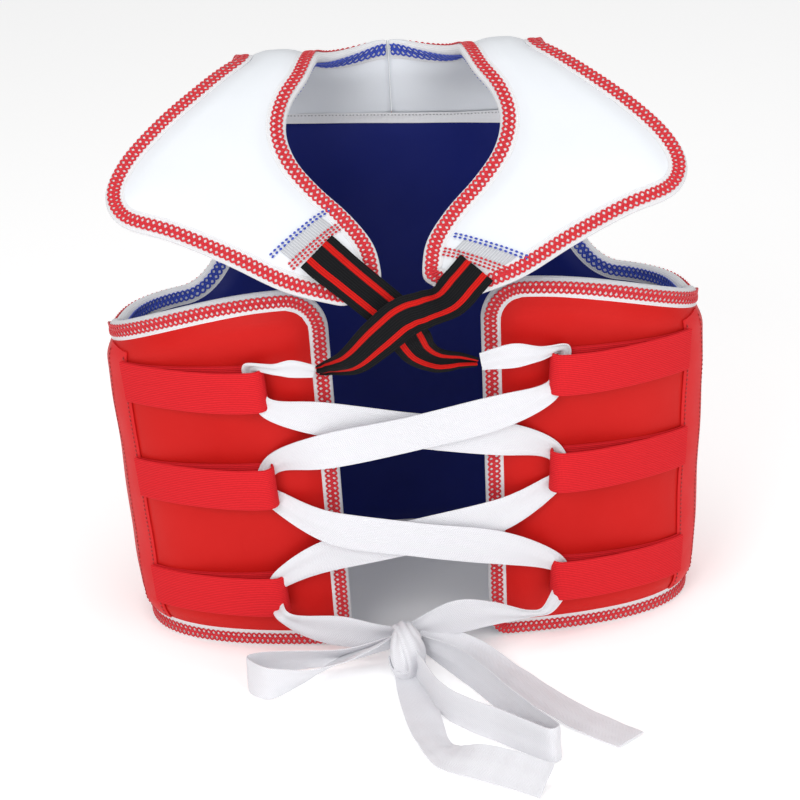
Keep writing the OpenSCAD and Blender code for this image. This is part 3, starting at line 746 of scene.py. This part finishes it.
def strap_coords(sign):
    inset = 1.2
    v = np.concatenate([np.linspace(0.002, NECK_V - 0.004, 14), np.linspace(NECK_V + 0.006, 1, 26),
                        np.linspace(1, 1.985, 78)[1:]])
    a, b = neck_edge(v), outer_edge(v)
    w = np.linalg.norm(b - a, axis=1)
    k0 = np.where(v < NECK_V, 0.15, inset) / w
    k1 = 1 - inset / w
    k = mix(k0[:, None], k1[:, None], np.linspace(0, 1, 32)[None, :])
    return (a[:, None] + (b - a)[:, None] * k[..., None]) * [sign, 1]


def strap_outline():
    v = np.linspace(NECK_V, 2, 500)
    back = np.linspace(2, 0, 600)
    return resample(np.concatenate([neck_edge(v), outer_edge(back)]), OUTLINE_STEP)


STRAP_LINE = strap_outline()


def strap_half(coords, sign, side):
    """Half thickness of a shoulder strap and its flap, on one face."""
    d = nearest(coords * [sign, 1], STRAP_LINE)
    half = puff(d, FLAP_EDGE, FLAP_HALF, 14)
    uneven = waviness(coords[..., 0], coords[..., 1], 11 + side, 45)
    half = half + smooth((d - 18) / 25) * (0.6 + 0.5 * uneven)
    half = half - pinch(coords[..., 1] + SHOULDER_S, 1.2, 5)
    below_neck = smooth((-NECK_DROP + 4 - coords[..., 1]) / 6)
    return half - pinch(np.abs(coords[..., 0]), 1.6, 3.5) * below_neck


def strap_panel(name, sign):
    pad(shoulder, strap_coords(sign), lambda coords, side: strap_half(coords, sign, side),
        f"flap_{name}",
        (1, f"shoulder_cover_{name}", WHITE, "cover_white", f"yoke_cover_{name}",
         f"flap_cover_{name}", f"yoke_foam_{name}", f"flap_foam_{name}"),
        (-1, f"shoulder_lining_{name}", WHITE, "cover_white", f"yoke_lining_{name}",
         f"flap_lining_{name}"))


# ---------- edge tapes and their net stitching ----------
class Edge:
    """An outline on a surface. at() gives points a distance along it and inwards from it."""

    def __init__(self, path, surface, inward, half):
        self.path = resample(path, 1.0)
        self.surface = surface
        self.half = half
        self.length = lengths(self.path)[-1]
        t = unit(np.gradient(self.path, axis=0))
        n = stack(-t[:, 1], t[:, 0]) * inward
        self.normal = blur(n, 5.0)
        self.run = np.linspace(0, self.length, len(self.path))

    def coords(self, along, inwards):
        base = np.stack([np.interp(along, self.run, self.path[:, k]) for k in (0, 1)], -1)
        n = np.stack([np.interp(along, self.run, self.normal[:, k]) for k in (0, 1)], -1)
        return base + n * np.asarray(inwards)[..., None]

    def at(self, along, inwards, height):
        q = self.coords(along, inwards)
        return raised(self.surface, q[..., 0], q[..., 1], height)


def edge_tape(name, edge):
    """A woven tape folded over an edge, with a rounded fold."""
    step = 2.2
    r = edge.half + TAPE_T
    flat = [TAPE_REACH, TAPE_REACH - 2.0, 9.5, 6.5]
    turn = np.radians([90, 60, 30, 0, -30, -60, -90])
    outer = ([(a, r + 0.15 * (a > 9)) for a in flat]
             + [(r - r * math.cos(t), r * math.sin(t)) for t in turn]
             + [(a, -r - 0.15 * (a > 9)) for a in flat[::-1]])
    q = edge.half
    inner = ([(TAPE_REACH, q + 0.3), (9.5, q + 0.05)]
             + [(r - q * math.cos(t), q * math.sin(t)) for t in turn]
             + [(9.5, -q - 0.05), (TAPE_REACH, -q - 0.3)])
    profile = np.array(outer + inner[::-1])
    n, m = max(8, int(edge.length / step)), len(profile)
    along = np.linspace(0, edge.length, n)
    points, _ = edge.at(np.repeat(along[:, None], m, 1), np.repeat(profile[None, :, 0], n, 0),
                        np.repeat(profile[None, :, 1], n, 0))
    across = lengths(profile)
    uv = stack(along[:, None], across[None, :]).reshape(-1, 2)
    i, j = np.meshgrid(np.arange(n - 1), np.arange(m), indexing="ij")
    a, b = i * m + j, i * m + (j + 1) % m
    sides = stack(a, a + m, b + m, b).reshape(-1, 4)
    half = len(outer)
    caps = []
    for base, flip in ((0, 1), ((n - 1) * m, -1)):
        for k in range(half - 1):
            ka = half + min(len(inner) - 1, round((half - 1 - k) * (len(inner) - 1) / (half - 1)))
            kb = half + min(len(inner) - 1, round((half - 2 - k) * (len(inner) - 1) / (half - 1)))
            caps.append([base + k, base + k + 1, base + kb, base + ka][::flip])
    caps = np.array([c for c in caps if len(set(c)) == 4])
    return make_mesh(name, points.reshape(-1, 3), np.concatenate([sides, caps]), TAPE, uv, 60)


def net(name, edge, side, material):
    """Net stitching: two rows of crossed zigzag threads down the tape's face."""
    count = round(edge.length / NET_PERIOD)
    period, swing, centre = edge.length / count, 2.0, 6.2
    k = np.arange(count * 8 + 1) / 2
    along = k * period / 4
    lines, normals = [], []
    for row in (-1, 1):
        for sign in (-1, 1):
            turned = np.sin(k * math.pi / 2 + row * math.pi / 4 - math.pi / 4)
            height = edge.half + TAPE_T + 0.4 + 0.25 * sign * np.cos(k * math.pi / 2)
            p, out = edge.at(along, centre + row * swing + sign * swing * turned, side * height)
            lines.append(p)
            normals.append(out * side)
    return tubes(name, lines, normals, 0.78, 0.5, material)


def stitched_tape(name, edge, body, *nodes):
    settle(edge_tape(name, edge), "tape_white", body, *nodes)
    for side, face, material in ((1, "outer", RED_THREAD), (-1, "inner", BLUE_THREAD)):
        settle(net(f"{name}_{face}_stitching", edge, side, material), "tape_white", body)


def edge_tapes():
    overlap = 0.8
    hem = np.array([[-SIDE_U - overlap, 0], [SIDE_U + overlap, 0]], float)
    stitched_tape("hem_tape", Edge(hem, wall, 1, TRUNK_EDGE), "trunk", "binding_hem_front")
    on_trunk = TOP_LINE[TOP_LINE[:, 0] <= SIDE_U + overlap]
    on_wing = TOP_LINE[TOP_LINE[:, 0] >= SIDE_U - 1.5]
    wing_line = np.concatenate([on_wing, wing_foot_line()[:-1], [[SIDE_U, 0]]])
    for name, sign in SIDES:
        flip = np.array([sign, 1])
        arm = Edge(on_trunk * flip, wall, -sign, TRUNK_EDGE)
        stitched_tape(f"armhole_tape_{name}", arm, "trunk", f"binding_armhole_{name}")
        wing = Edge(wing_line * flip, wall, -sign, TRUNK_EDGE)
        stitched_tape(f"wing_tape_{name}", wing, f"wing_{name}", f"binding_wing_{name}")
        strap = Edge(blur(STRAP_LINE, 2.5) * flip, shoulder, -sign, FLAP_EDGE)
        stitched_tape(f"shoulder_tape_{name}", strap, f"flap_{name}", f"binding_flap_{name}",
                      "binding_neck_front", f"binding_armhole_{name}")


def inner_face(u, z):
    mid, n = wall(u, z)
    return mid, -n


def lining_height(u, z):
    return face_height(u, np.minimum(z, YOKE_Z), -1)


def seam_tape():
    """White tape over the seam between the lining and the yoke, inside, with a row of stitches above."""
    end = ARM_X[0] - 4
    x = np.linspace(-end, end, 90)
    foot = YOKE_Z - 3.6 - 0.05 * x
    head = np.maximum(foot + 7.5, YOKE_Z + 1.5)
    zz = mix(foot[:, None], head[:, None], np.linspace(0, 1, 7)[None])
    uu = np.repeat((np.sign(x) * u_of_x(np.abs(x)))[:, None], 7, 1)
    g, _ = raised(inner_face, uu, zz, lining_height(uu, zz) + 0.6)
    settle(ribbon("yoke_seam_tape_strip", g, 0.9, SEAM_TAPE), "tape_white", "trunk", "yoke_seam_tape")
    sewn = stack(uu[:, 0], head - 1.4)
    rows = [(sewn[k], sewn[k + 3], 2.7) for k in range(0, 87, 3)]
    stitches = dashes("yoke_seam_stitches", inner_face, rows,
                      lambda u, z: lining_height(u, z) + 1.1, 1.5, 0.42, GREY_THREAD)
    settle(stitches, "tape_white", "trunk")


# ---------- stitches ----------
def dashes(name, surface, rows, height, length, width, material):
    """Short stitches along rows of surface coordinates. Each row is (start, end, pitch)."""
    lines, normals, arch = [], [], np.array([0, 0.3, 0.3, 0])
    for start, end, pitch in rows:
        start, end = np.array(start, float), np.array(end, float)
        total = np.linalg.norm(end - start)
        d = (end - start) / total
        for at in np.arange(pitch / 2, total, pitch):
            q = start + d * (at + np.linspace(-length / 2, length / 2, 4))[:, None]
            p, n = raised(surface, q[:, 0], q[:, 1], height(q[:, 0], q[:, 1]) + arch)
            lines.append(p)
            normals.append(n)
    return tubes(name, lines, normals, width, width * 0.6, material)


def flap_height(x, s):
    """Height of the flap's outer face above its middle surface."""
    coords = stack(np.asarray(x, float), np.asarray(s, float))
    flat = coords.reshape(-1, 1, 2)
    sign = 1 if flat[0, 0, 0] > 0 else -1
    return strap_half(flat, sign, 1).reshape(coords.shape[:-1])


def direction(degrees):
    return np.array([math.cos(math.radians(degrees)), math.sin(math.radians(degrees))])


def sewn_row(sign, place, half, shift=0.0):
    """Ends of a row across the flap. place is 0 at the blue rows and 1 at the red ones."""
    (x, s), tilt = SEWN[sign]
    along = direction(tilt)
    middle = np.array([x - 10.5 * place, s + 9.5 * place]) + np.array([-along[1], along[0]]) * shift
    return (middle - half * along) * [sign, 1], (middle + half * along) * [sign, 1]


def flap_stitches(name, sign):
    """Sewn rows that hold the elastic's end: two blue, three red."""
    blue = [(*sewn_row(sign, 0, 27, shift), 3.5) for shift in (-1.1, 1.1)]
    red = [(*sewn_row(sign, 1, 24, shift), 3.1) for shift in (-2.2, 0, 2.2)]
    for rows, colour, material in ((blue, "blue", BLUE_THREAD), (red, "red", RED_THREAD)):
        piece = dashes(f"flap_{colour}_stitches_{name}", shoulder, rows,
                       lambda x, s: flap_height(x, s) + 1.2, 2.2, 0.8, material)
        settle(piece, "cover_white", f"flap_{name}")


def flap_patch(name, sign):
    """Woven patch under the elastic's sewn end."""
    rows = np.linspace(0, 1, 16)[:, None, None]
    cols = np.linspace(0, 1, 26)[None, :, None]
    (a, b), (c, d) = sewn_row(sign, 0.12, 18), sewn_row(sign, 0.86, 18)
    q = mix(mix(a, b, cols), mix(c, d, cols), rows)
    x, s = q[..., 0], q[..., 1]
    g, _ = raised(shoulder, x, s, flap_height(x, s) + 0.6)
    patch = ribbon(f"flap_patch_{name}_woven", g, 0.6, PATCH)
    settle(patch, "tape_white", f"flap_{name}", f"flap_patch_{name}")


# ---------- webbing ----------
def loop_band(name, sign):
    """Upright band that covers the loops' sewn ends, with a row of stitches down each side."""
    u = BAND_U + np.linspace(0, BAND_W, 23)
    z = np.linspace(TAPE_REACH, WING_SIDE_Z - TAPE_REACH + 1, 100)
    zz, uu = np.meshgrid(z, u * sign, indexing="ij")
    g, _ = raised(wall, uu, zz, face_height(uu, zz) + 0.8)
    band = ribbon(f"loop_band_{name}_strip", g, STRIP_T, BAND)
    settle(band, "webbing_red", f"wing_{name}", f"loop_band_{name}")
    rows = [((sign * at, 15), (sign * at, WING_SIDE_Z - 14), 3.4)
            for at in (BAND_U + 2.6, BAND_U + (BAND_W - 2.6))]
    stitches = dashes(f"loop_band_{name}_stitches", wall, rows,
                      lambda u, z: face_height(u, z) + 1.6, 2.2, 0.5, WEBBING_THREAD)
    settle(stitches, "webbing_red", f"wing_{name}")


def webbing_loop(name, sign, level):
    """Webbing folded into a flat loop, sewn under the band, its fold towards the lacing."""
    z0 = LOOP_Z[level]
    root = HINGE_U + 24
    share = np.linspace(0, 1, 30)
    base = TRUNK_HALF + 1.7
    top = z0 + WEBBING_W / 2

    def on_wing(u, off):
        return raised(wall, u * sign, np.full_like(u, top), off)[0][:, :2]

    back = on_wing(mix(root, LOOP_TIP_U, share), base + 0 * share)
    front = on_wing(mix(LOOP_TIP_U, root, share), base + mix(LOOP_OPEN, 1.9, smooth(share * 1.05)))
    middle = (back[-1] + front[0]) / 2
    out = np.array([-sign, 0]) * LOOP_OPEN / 2
    turn = np.radians(np.linspace(-75, 75, 11))[:, None]
    fold = middle + out * np.cos(turn) + (front[0] - back[-1]) / 2 * np.sin(turn)
    path = resample(np.concatenate([back, fold, front]), 3.0)
    across = np.linspace(-WEBBING_W / 2, WEBBING_W / 2, 23)
    n = len(path)
    g = np.empty((n, len(across), 3))
    g[..., :2] = path[:, None]
    g[..., 2] = across[None]
    at = np.linspace(0, 1, n)[:, None]
    fold_share = np.exp(-((at - 0.5) / 0.16) ** 2)
    g[..., 1] -= fold_share * 1.2 * np.cos(across / 9)[None]
    g[..., 2] += 0.8 * np.sin(at * 9 + z0) * (1 - np.abs(at - 0.5))
    tip_x = middle[0]
    cos, sin = direction(LOOP_TILT * sign)
    x, z = g[..., 0] - tip_x, g[..., 2].copy()
    g[..., 0], g[..., 2] = tip_x + x * cos + z * sin, z0 - x * sin + z * cos
    piece = ribbon(f"loop_{name}_{level}_webbing", g, 1.4, WEBBING, 0.12)
    settle(piece, "webbing_red", f"wing_{name}", f"loop_{name}_{level}")


# ---------- laces, elastic and bow ----------
def strip_grid(path, widths, full_w, steps, across, folds, seed, crumple):
    """Grid of a soft tape along a path. Where its half-width vector is shorter than the tape,
    the tape folds lengthwise and keeps its real width."""
    k = np.linspace(0, 1, steps)
    p, w = spline(path, k), spline(widths, k)
    along = unit(np.gradient(p, axis=0))
    w = w - along * (w * along).sum(-1, keepdims=True)
    n = unit(np.cross(along, w))
    short = np.linalg.norm(w, axis=1)
    depth = np.sqrt(np.maximum((full_w / 2) ** 2 - short ** 2, 0)) * folds
    v = np.linspace(-1, 1, across)
    shape = (np.cos(v * 1.5 * math.pi) - 0.1) * 0.42
    wave = waviness(k[:, None] * 700, v[None, :] * 10, seed, 45) * crumple
    return (p[:, None] + w[:, None] * v[None, :, None]
            + n[:, None] * (depth[:, None] * shape[None, :] * 0.6 + wave)[..., None])


BACK_Y = Y_TOP - HALF_D_TOP - TRUNK_HALF
LACE_Y = BACK_Y - 8
LACE_START, LACE_END_Z = {1: 50, -1: -63}, 227


def on_flap(sign, x, s, off):
    return raised(shoulder, np.array([sign * x]), np.array([s]), off)[0][0]


def in_loop(sign, level):
    """The middle of a loop's hollow."""
    p, _ = raised(wall, np.array([LOOP_TIP_U]), np.array([LOOP_Z[level] + WEBBING_W / 2]),
                  TRUNK_HALF + 1.3 + LOOP_OPEN / 2)
    return np.array([sign * (LOOP_TIP_X + 8), p[0, 1], LOOP_Z[level]])


def lace_stations(sign, lift):
    w = LACE_W / 2
    x0 = LACE_START[sign]
    a, b, c = in_loop(sign, "top"), in_loop(-sign, "middle"), in_loop(sign, "bottom")
    up = np.array([0, 0, 15])
    out = np.array([-sign * 7, -2.5, 0])
    end = np.array([KNOT[0] + sign * 5, KNOT[1] + 2, KNOT[2] + (6 if sign > 0 else 2)])
    high, low = (LOOP_Z["top"] + LOOP_Z["middle"]) / 2, (LOOP_Z["middle"] + LOOP_Z["bottom"]) / 2
    path = [[x0, LACE_Y - 2, LACE_END_Z], [mix(x0, sign * 90, 0.55), LACE_Y - 3, 230],
            [sign * 90, LACE_Y - 2, 230], a + up - out * 0.4, a, a - up + out * 1.4,
            [sign * 58, LACE_Y + 2 - lift, high + 12], [0, LACE_Y - lift, high + 1],
            [-sign * 58, LACE_Y + 2 - lift, high - 9],
            b + up - out * 1.4, b, b - up - out * 1.4,
            [-sign * 58, LACE_Y + 4 - lift, low + 12], [0, LACE_Y + 3 - lift, low],
            [sign * 58, LACE_Y + 5 - lift, low - 11],
            c + up + out * 1.4, c, c - up * 0.45 + out * 0.3]
    if sign > 0:
        path += [[90, LACE_Y + 3, 33], [76, LACE_Y + 3, 30], [50, LACE_Y + 3, 32],
                 [24, LACE_Y + 1, 32], end]
        last = [[3, 0, -2.5], [0, 0, -3], [0, 0, -9.5], [0, 0, -w], [0, 0, -5]]
    else:
        path += [[-97, LACE_Y + 2, 40], [-82, LACE_Y + 3, 31], [-58, LACE_Y + 3, 25],
                 [-34, LACE_Y + 1, 21], end]
        last = [[-3, 0, -3.5], [0, 0, -8.5], [0, 0, -12], [0, 0, -10], [0, 0, -6]]
    flat = np.array([0, 0, w])
    thin = np.array([sign * w * 0.36, 0, 0])

    def lean(k):
        return np.array([sign * w * 0.3, 0, w * k])

    top = 0.68 if sign > 0 else 0.48
    widths = [[0, 0, w * top * 0.7], [0, 0, w * top], [0, 0, w * top * 0.6], lean(0.2), thin, lean(-0.5),
              -flat, -flat, -flat, lean(-0.5), thin, lean(0.5), flat, flat, flat,
              lean(0.5), thin, lean(-0.35)] + last
    return np.array(path, float), np.array(widths, float)


def split_at_middle(g):
    """Rows of a strip between its crossings of x = 0, and the side that each stretch is on."""
    x = g[..., 0].mean(1)
    cuts = [0] + [int(i) for i in np.nonzero(np.diff(np.sign(x)))[0]] + [len(g) - 1]
    for a, b in zip(cuts[:-1], cuts[1:]):
        yield slice(a, b + 1), (1 if x[(a + b) // 2] > 0 else -1)


def across_back(sign):
    """Two points over the lacing gap, given to settle as the ends of a blend into a wing; no blend is
    made from them.
    """
    return (0, -208, 110), (sign * 90, -208, 110)


def lace(name, sign, lift):
    """A whole lace, cut into parts where it crosses the middle, each given the wing on its side as its
    body.
    """
    path, widths = lace_stations(sign, lift)
    g = strip_grid(path, widths, LACE_W, 480, 13, 0.22, 5 + sign, 0.5)
    for k, (rows, at) in enumerate(split_at_middle(g)):
        side = "right" if at > 0 else "left"
        piece = ribbon(f"lace_{name}_part_{k}", g, STRIP_T, LACE, rows=rows)
        settle(piece, "lace_white", f"wing_{side}", f"lace_{name}", between=across_back(at))


def elastic(name, sign, lift):
    """A strap from its sewn end on one flap, over the middle, to the other side's lace end."""
    e = ELASTIC_W / 2
    end_x = LACE_START[-sign] + sign * 2.5
    (x, s), tilt = SEWN[sign]
    start = np.array([x - 11, s + 14.5])
    path = [on_flap(sign, *start, FLAP_HALF + 1.9),
            on_flap(sign, start[0] - 9, start[1] + 9, FLAP_HALF + 2.4),
            on_flap(sign, start[0] - 21, start[1] + 20, FLAP_HALF + 3.8)]
    across = direction(tilt) * e
    end_a, end_b = (on_flap(sign, *(start + k * across), FLAP_HALF + 2.0) for k in (-1, 1))
    lead = (end_b - end_a) / 2
    if sign < 0:
        path += [[-3, FLAP_TIP[0] - 12, 270], [4, FLAP_TIP[0] - 8, 254], [10, FLAP_TIP[0] - 1, 242],
                 [21, LACE_Y - 8, 232], [35, LACE_Y - 5, 230]]
    else:
        path += [[14, FLAP_TIP[0] - 12 - lift, 280], [-1, FLAP_TIP[0] - 12 - lift, 275],
                 [-18, FLAP_TIP[0] - 8 - lift, 260], [-37, FLAP_TIP[0] - 1 - lift / 2, 240],
                 [-53, LACE_Y - 6, 230]]
    path += [[end_x, LACE_Y - 2, LACE_END_Z]]
    lean = np.array([sign * 0.6, 0.0, -0.72]) * e
    if sign < 0:
        widths = [lead, lead, mix(lead, lean, 0.5), lean, [-12, 0, -6.5], [-8, 0, -8],
                  [-2, 0, -8.5], [0, 0, -6], [0, 0, -3]]
    else:
        widths = [lead, lead, mix(lead, lean, 0.6), [6, 0, -12], [7, 0, -12.5], [8.5, 0, -11],
                  [6.5, 0, -8.5], [3, 0, -5], [1, 0, -3]]
    g = strip_grid(path, widths, ELASTIC_W, 120, 23, 0.35, 21 + sign, 0.3)
    x = g[..., 0].mean(1)
    cut = int(np.argmax(np.sign(x) != sign))
    upper = ribbon(f"elastic_{name}_upper", g, STRIP_T, ELASTIC, 0.12, slice(0, cut + 1))
    settle(upper, "elastic_black", f"flap_{name}", f"elastic_{name}",
           between=((0, -236, 262), on_flap(sign, 40, 192, 8)))
    other = "left" if sign > 0 else "right"
    lower = ribbon(f"elastic_{name}_lower", g, STRIP_T, ELASTIC, 0.12, slice(cut, None))
    settle(lower, "elastic_black", f"wing_{other}", f"elastic_{name}", between=across_back(-sign))


def bow_piece(name, g, *nodes):
    """A stretch of the lace's tape in the bow, kept above the floor."""
    g[..., 2] = np.maximum(g[..., 2], 0.8)
    settle(ribbon(name, g, STRIP_T, LACE), "lace_white", "bow", *nodes)


def bow_tape(node, path, widths, steps, seed, folds=0.35):
    g = strip_grid([KNOT + q for q in path], widths, LACE_W, steps, 13, folds, seed, 0.45)
    bow_piece(f"{node}_tape", g, node)


def bow():
    """Two loops and two ends, as offsets from the knot's middle."""
    low = 13.8 - KNOT[2]
    path = [(-4, -4, 1), (-43, -13, -4), (-84, -15, -5), (-107, -21, low), (-110, -32, low),
            (-96, -45, low), (-72, -39, -5), (-48, -27, -2), (-28, -17, 2), (-8, -8, 2)]
    widths = [(0, -4, 7), (0, -8, 9.6), (0, -6, 11.3), (0, -3, 12.6), (0, 0, 13), (0, -1, 13),
              (0, -8, 9.5), (0, -12, 4.5), (0, -11, 3.5), (0, -4, 7)]
    bow_tape("bow_loop_left", path, widths, 170, 1)
    path = [(6, -4, 1), (39, -36, low), (67, -89, low), (85, -122, low), (97, -141, low),
            (96, -147, low), (88, -146, low), (62, -122, low), (38, -100, low), (22, -78, low),
            (10, -42, low), (2, -12, 0)]
    widths = [(0, -4, 7)] + [(0, 0, 12.9)] * 10 + [(2, -4, 7)]
    bow_tape("bow_loop_right", path, widths, 220, 2)
    path = [(10, 2, 2), (26, 0, -4), (46, -8, -10), (76, -42, -15.5), (112, -92, -16.6),
            (146, -128, -16.6)]
    widths = [(1, 2, 10), (2, 3, 9), (7, 8, 5), (9, 9, 0), (9, 9, 0), (8, 10.5, 0)]
    bow_tape("lace_tail_right", path, widths, 110, 31, 0.5)
    path = [(1, -11, -4), (4, -36, -14), (9, -80, -16.2), (15, -116, -16), (25, -140, -14),
            (45, -155, -10), (66, -170, -8.8), (86, -185.5, -8.8)]
    widths = [(9, 0, 3), (12.5, -1, 1), (12.8, -2, 0), (12, -4, 0), (9.5, 6, 3.5), (4, 9, 7.4),
              (3, 9.4, 8), (3, 9.4, 8)]
    bow_tape("lace_tail_left", path, widths, 170, 32, 0.3)
    knot()


def knot():
    """A folded lump with three turns of tape drawn tight over it."""
    centre, radii = KNOT + [-0.5, -17.5, -0.7], np.array([12.0, 19.5, 18.3])

    def on_lump(d, lift):
        return centre + unit(d) * (radii + lift)

    a, b = np.meshgrid(np.linspace(0, 2 * math.pi, 37), np.linspace(0.06, math.pi - 0.06, 22),
                       indexing="ij")
    lump = on_lump(stack(np.sin(b) * np.cos(a), np.sin(b) * np.sin(a), np.cos(b)), -0.8)
    lump = lump + unit(lump - centre) * 0.7 * np.cos(a * 5)[..., None]
    core = slab("lace_knot_core", lump, centre + (lump - centre) * 0.9, LACE, stack(a * 9, b * 16))
    settle(core, "lace_white", "bow")
    v = np.linspace(-1, 1, 15)[None]
    pleats = 0.55 * np.cos(v * 2.6 * math.pi)
    for part, turn, start, stop, spread, lift, nodes in (
            ("left", -26, -60, 178, 0.62, 0.5, ("lace_knot",)), ("right", 27, -40, 160, 0.66, 1.7, ())):
        t = np.radians(np.linspace(start, stop, 70))[:, None]
        az = math.radians(turn) + 0.35 * np.sin(t - 0.4)
        narrow = spread * (1 - 0.25 * np.cos(t * 2))
        d = stack(np.sin(az) * np.sin(t) + v * narrow * np.cos(az),
                  -np.cos(az) * np.sin(t) + v * narrow * np.sin(az), np.cos(t))
        bow_piece(f"lace_knot_{part}_turn", on_lump(d, (lift + pleats + 0 * t)[..., None]), *nodes)
    t = np.radians(np.linspace(-100, 95, 70))[:, None]
    rise = -0.40 - 0.30 * np.cos(t) + 0.22 * np.sin(t) + v * 0.42 * (0.75 + 0.25 * np.cos(t))
    d = stack(np.sin(t) * np.cos(rise), -np.cos(t) * np.cos(rise), np.sin(rise))
    lift = 2.0 - 0.9 * v + 0.4 * np.cos(v * 2.2 * math.pi) - 1.5 * np.abs(np.sin(t)) ** 3
    bow_piece("lace_knot_low_turn", on_lump(d, lift[..., None]))


# ---------- stage ----------
def floor():
    half, z = 9000, -0.2
    corners = [[-half, -half, z], [half, -half, z], [half, half, z], [-half, half, z]]
    make_mesh("floor", corners, np.array([[0, 1, 2, 3]]), floor_material())


def floor_material():
    """Plain pale floor with painted light: it glows a little everywhere except inside the trunk's
    footprint, where the lamps' own shade shows.
    """
    g = Graph("floor", 0.9, 0.1)
    g.set("Base Color", (0.9, 0.9, 0.9, 1))
    split = g.tree.nodes.new("ShaderNodeSeparateXYZ")
    g.put(split.inputs[0], g.place())
    half, front = box_mm("front_cover_red")[1][:2]
    back = box_mm("wing_cover_left")[0][1]
    across = g.math("DIVIDE", split.outputs[0], half * MM)
    deep = g.math("DIVIDE", g.math("SUBTRACT", split.outputs[1], (front + back) / 2 * MM),
                  (front - back) / 2 * MM)
    reach = g.math("SQRT", g.math("ADD", g.math("MULTIPLY", across, across),
                                  g.math("MULTIPLY", deep, deep)))
    # Painted light: the floor's glow is none within seven tenths of the ellipse round the trunk's
    # footprint and full from its edge outwards.
    painted_glow = g.math("MULTIPLY", g.math("SUBTRACT", reach, 0.7), 3.3)
    painted_glow = g.math("MINIMUM", g.math("MAXIMUM", painted_glow, 0.0), 1.0)
    g.set("Emission Color", (1, 1, 1, 1))
    g.set("Emission Strength", g.math("MULTIPLY", painted_glow, 0.3))
    return g.material


def lights():
    world = bpy.data.worlds.new("studio")
    bpy.context.scene.world = world
    world.use_nodes = True
    background = world.node_tree.nodes["Background"]
    background.inputs["Color"].default_value = (1, 1, 1, 1)
    background.inputs["Strength"].default_value = 0.56
    for name, place, size, power in (("key", (-1.0, -2.1, 1.35), 1.3, 21),
                                     ("fill", (1.3, -2.0, 0.8), 1.6, 12),
                                     ("top", (0.1, -0.7, 2.2), 1.5, 12)):
        light = bpy.data.lights.new(name, "AREA")
        light.shape = "DISK"
        light.size, light.energy = size, power
        lamp = bpy.data.objects.new(name, light)
        lamp.location = place
        aim = np.array([0, -0.09, 0.2]) - np.array(place)
        lamp.rotation_mode = "QUATERNION"
        lamp.rotation_quaternion = Vector(aim).to_track_quat("-Z", "Y")
        bpy.context.scene.collection.objects.link(lamp)


def camera():
    """Looks at the laced back from a little above, with a slight roll."""
    elevation, roll, distance = math.radians(23), math.radians(3.3), 1.8
    focal_in_widths = 2455 / 800
    target = Vector((-0.006, -0.0886, 0.1505))
    back = Vector((0, -math.cos(elevation), math.sin(elevation)))
    right = Vector((1, 0, 0))
    up = back.cross(right)
    x = right * math.cos(roll) - up * math.sin(roll)
    y = up * math.cos(roll) + right * math.sin(roll)
    lens = bpy.data.cameras.new("camera")
    lens.sensor_width = 36
    lens.lens = lens.sensor_width * focal_in_widths
    lens.clip_start = 0.05
    cam = bpy.data.objects.new("camera", lens)
    turned = Matrix((x, y, back)).transposed().to_4x4()
    cam.matrix_world = Matrix.Translation(target + back * distance) @ turned
    bpy.context.scene.collection.objects.link(cam)
    bpy.context.scene.camera = cam
    bpy.context.scene.view_settings.view_transform = "Standard"


front_panel()
for side_name, side_sign in SIDES:
    wing_panel(side_name, side_sign)
    strap_panel(side_name, side_sign)
    flap_patch(side_name, side_sign)
    flap_stitches(side_name, side_sign)
    loop_band(side_name, side_sign)
    for loop_level in ("bottom", "middle", "top"):
        webbing_loop(side_name, side_sign, loop_level)
edge_tapes()
seam_tape()
lace("left", -1, -3)
lace("right", 1, 3)
elastic("left", -1, 0)
elastic("right", 1, 8)
bow()
floor()
lights()
camera()
